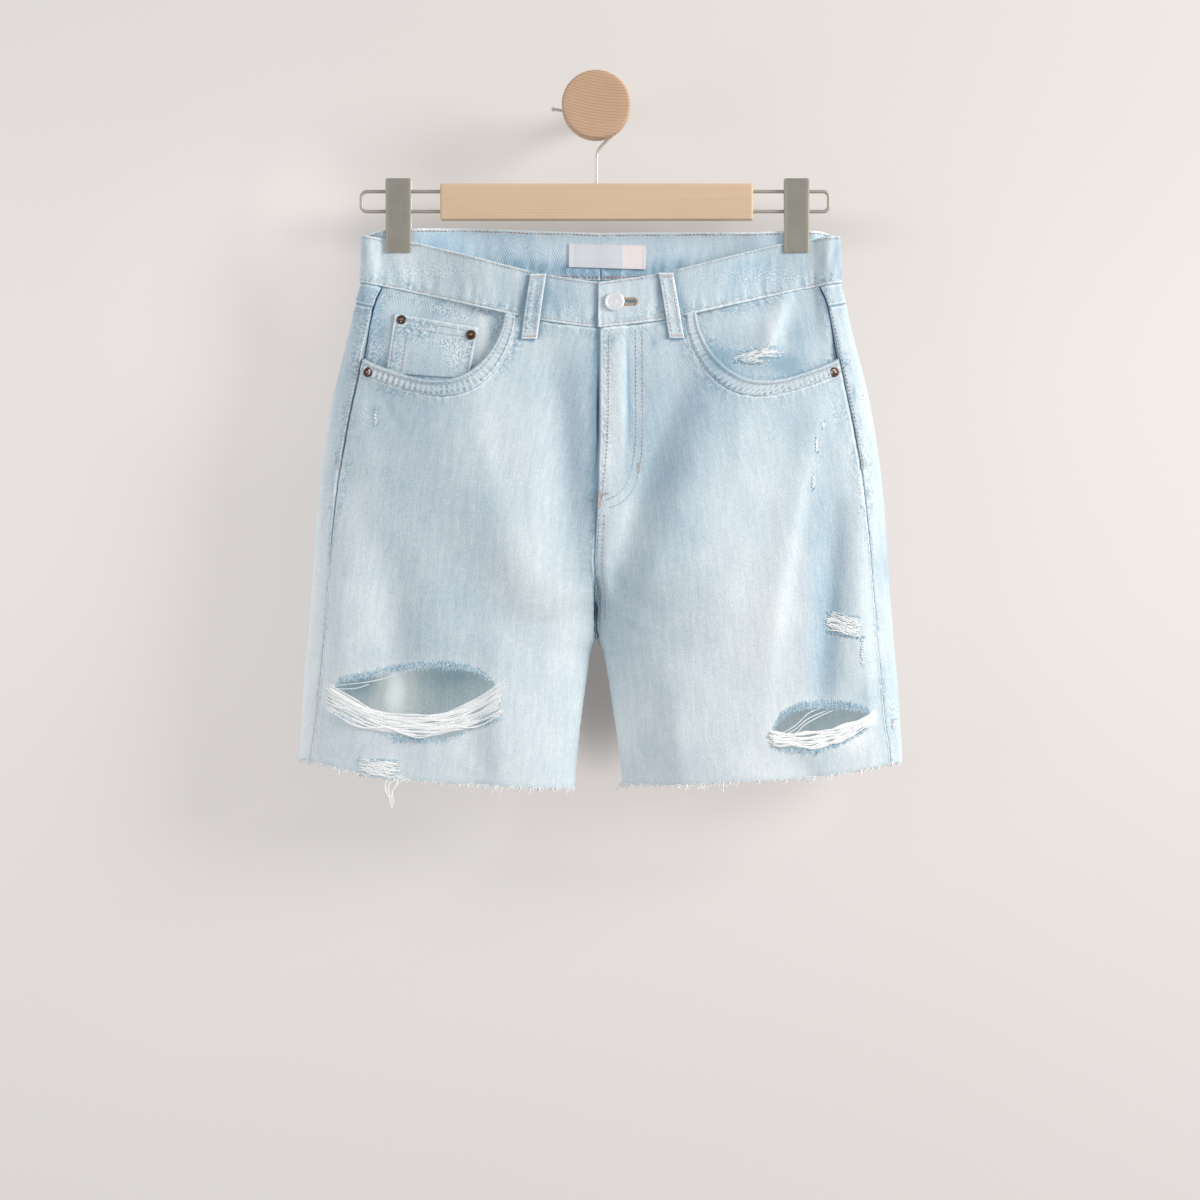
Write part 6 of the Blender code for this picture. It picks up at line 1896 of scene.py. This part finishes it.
# The flat cut of each piece in metres: width, length, area, what it hangs from or lies on, and what is on it.
CLIPS = ("hanger_clip_right", "hanger_clip_left")
FRAYS = [(f"hem_threads_{word}", f"rip_threads_{word}") for word in WORD.values()]
CUTS = (
    ("front_panel_right", 0.262, 0.438, 0.0915, ("waistband_right",), FRAYS[0]),
    ("front_panel_left", 0.267, 0.438, 0.0923, ("waistband_left",), FRAYS[1]),
    ("back_panel_right", 0.320, 0.431, 0.1160, ("yoke_right",), ()),
    ("back_panel_left", 0.325, 0.431, 0.1173, ("yoke_left",), ()),
    ("back_yoke_right", 0.250, 0.058, 0.0107, ("waistband_right",), ()),
    ("back_yoke_left", 0.250, 0.058, 0.0107, ("waistband_left",), ()),
    ("band_right", 0.480, 0.045, 0.0200, CLIPS, ()),
    ("band_left", 0.454, 0.045, 0.0189, CLIPS, ("buttonhole_edge",)),
    ("facing_right", 0.150, 0.105, 0.0125, ("waistband_right",), ()),
    ("facing_left", 0.150, 0.105, 0.0125, ("waistband_left",), ()),
    ("pocket_edge_right", 0.187, 0.020, 0.0029, ("front_right",), ()),
    ("pocket_edge_left", 0.187, 0.020, 0.0029, ("front_left",), ()),
    ("hip_pocket_right", 0.131, 0.145, 0.0168, ("back_right",), ()),
    ("hip_pocket_left", 0.131, 0.145, 0.0168, ("back_left",), ()),
    ("coin_patch", 0.075, 0.054, 0.0038, ("pocket_facing_right",), ()),
    ("belt_loop_front_right_strip", 0.014, 0.059, None, ("waistband_right",), ()),
    ("belt_loop_front_left_strip", 0.013, 0.060, None, ("waistband_left",), ()),
    ("belt_loop_back_right_strip", 0.0145, 0.057, None, ("waistband_right",), ()),
    ("belt_loop_back_left_strip", 0.0145, 0.057, None, ("waistband_left",), ()),
    ("belt_loop_back_centre_strip", 0.0135, 0.057, None, ("waistband_left",), ()),
    ("label_strip", 0.068, 0.021, None, ("waistband_left",), ()),
)
for name, wide, tall, area, holders, extras in CUTS:
    made, *on_it = (bpy.data.objects[each] for each in (name, *extras))
    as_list(holders)
    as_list(on_it)

# ---- stage, light and camera
WALL_WIDE, WALL_TOP, FLOOR_DROP, FLOOR_DEEP = 3000.0, 1500.0, 1500.0, 3000.0


NEAR_SHADE = (  # painted soft shade on the wall close behind the shorts, and below 0 painted light: x, z, their reaches, and amount, in metres
    (0.003, -0.500, 0.034, 0.062, 0.66), (0.000, -0.102, 0.200, 0.024, 0.40),
    (0.030, -0.615, 0.150, 0.045, -0.16), (-0.320, -0.170, 0.110, 0.120, -0.07),
    (-0.262, -0.110, 0.040, 0.070, -0.12),
)  # fmt: skip


def stage_finish():
    """Matt warm grey paint, lit through its own faint glow so that shadows on it stay light. It is clear from
    behind, so the wall hides nothing seen from its back."""
    made, tree, shader = new_material("pale_paint", Roughness=0.9, Specular_IOR_Level=0.1)
    place = place_of(tree)
    parts = split(place)
    glow = 1.0
    for x, z, reach_x, reach_z, amount in NEAR_SHADE:
        across = times(sum_of(parts["X"], -x), 1 / reach_x)
        up = times(sum_of(parts["Z"], -z), 1 / reach_z)
        away = sum_of(times(across, across), times(up, up))
        glow = times(glow, ramp(away, 0.0, 2.4, 1.0 - amount, 1.0))
    # Painted light: the glow is strongest near the shorts' middle height, weaker below and above.
    glow = times(glow, ramp(parts["Z"], -1.1, -0.4, 0.44, 0.53))
    glow = times(glow, ramp(parts["Z"], -0.3, 0.15, 1.0, 0.86))
    colour = mixed(noise(place, 2.0, 2.0), srgb(163, 160, 157), srgb(167, 165, 163))
    fill(shader, Base_Color=colour, Emission_Color=srgb(234, 226, 221), Emission_Strength=glow)
    clear = add(tree, "BsdfTransparent")
    behind = add(tree, "NewGeometry").outputs["Backfacing"]
    both = add(tree, "MixShader", None, i0=behind, i1=shader.outputs[0], i2=clear.outputs[0])
    fill(tree.nodes["Material Output"], Surface=both.outputs[0])
    return made


PAINT = stage_finish()


def plane(name, *corners):
    return piece(name, corners, [np.array([[0, 1, 2, 3]])], (PAINT,))


foot = [(x, 0, -FLOOR_DROP) for x in (-WALL_WIDE, WALL_WIDE)]
wall = plane("wall", *foot, (WALL_WIDE, 0, WALL_TOP), (-WALL_WIDE, 0, WALL_TOP))
floor = plane("floor", *[(x, -FLOOR_DEEP, z) for x, _, z in foot], *foot[::-1])
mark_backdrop(wall, floor)

VIEW_X, VIEW_DROP, VIEW_AWAY, VIEW_WIDE = 3.4, 432.0, 3000.0, 1056.0


def lamp(name, at, target, size, energy, colour=(1.0, 1.0, 1.0)):
    data = bpy.data.lights.new(name, "AREA")
    data.shape, data.size, data.energy, data.color = "DISK", size, energy, colour
    made = bpy.data.objects.new(name, data)
    made.location = Vector(at)
    made.rotation_euler = (Vector(target) - Vector(at)).to_track_quat("-Z", "Y").to_euler()
    bpy.context.scene.collection.objects.link(made)


TARGET = (0.0, -0.06, -0.35)
lamp("key", (3.0, -1.5, 0.8), TARGET, 1.6, 134.0, (1.0, 0.978, 0.950))
lamp("fill", (-2.7, -1.3, -0.2), TARGET, 2.0, 25.0, (0.93, 0.965, 1.0))

world = bpy.data.worlds.new("pale_room")
world.use_nodes = True
world.node_tree.nodes["Background"].inputs["Color"].default_value = (0.93, 0.95, 1.0, 1.0)
world.node_tree.nodes["Background"].inputs["Strength"].default_value = 0.55
bpy.context.scene.world = world
bpy.context.scene.view_settings.view_transform = "Standard"

camera_data = bpy.data.cameras.new("camera")
camera_data.sensor_width = 36.0
camera_data.lens = 36.0 * VIEW_AWAY / VIEW_WIDE
camera_data.clip_end = 20.0
camera = bpy.data.objects.new("camera", camera_data)
camera.location = (VIEW_X * MM, (HANG_Y - VIEW_AWAY) * MM, -VIEW_DROP * MM)
camera.rotation_euler = (math.pi / 2, 0.0, 0.0)
bpy.context.scene.collection.objects.link(camera)
bpy.context.scene.camera = camera

[[list(map(float, corner)) for corner in box] for box in (CAD_BOX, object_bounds())]
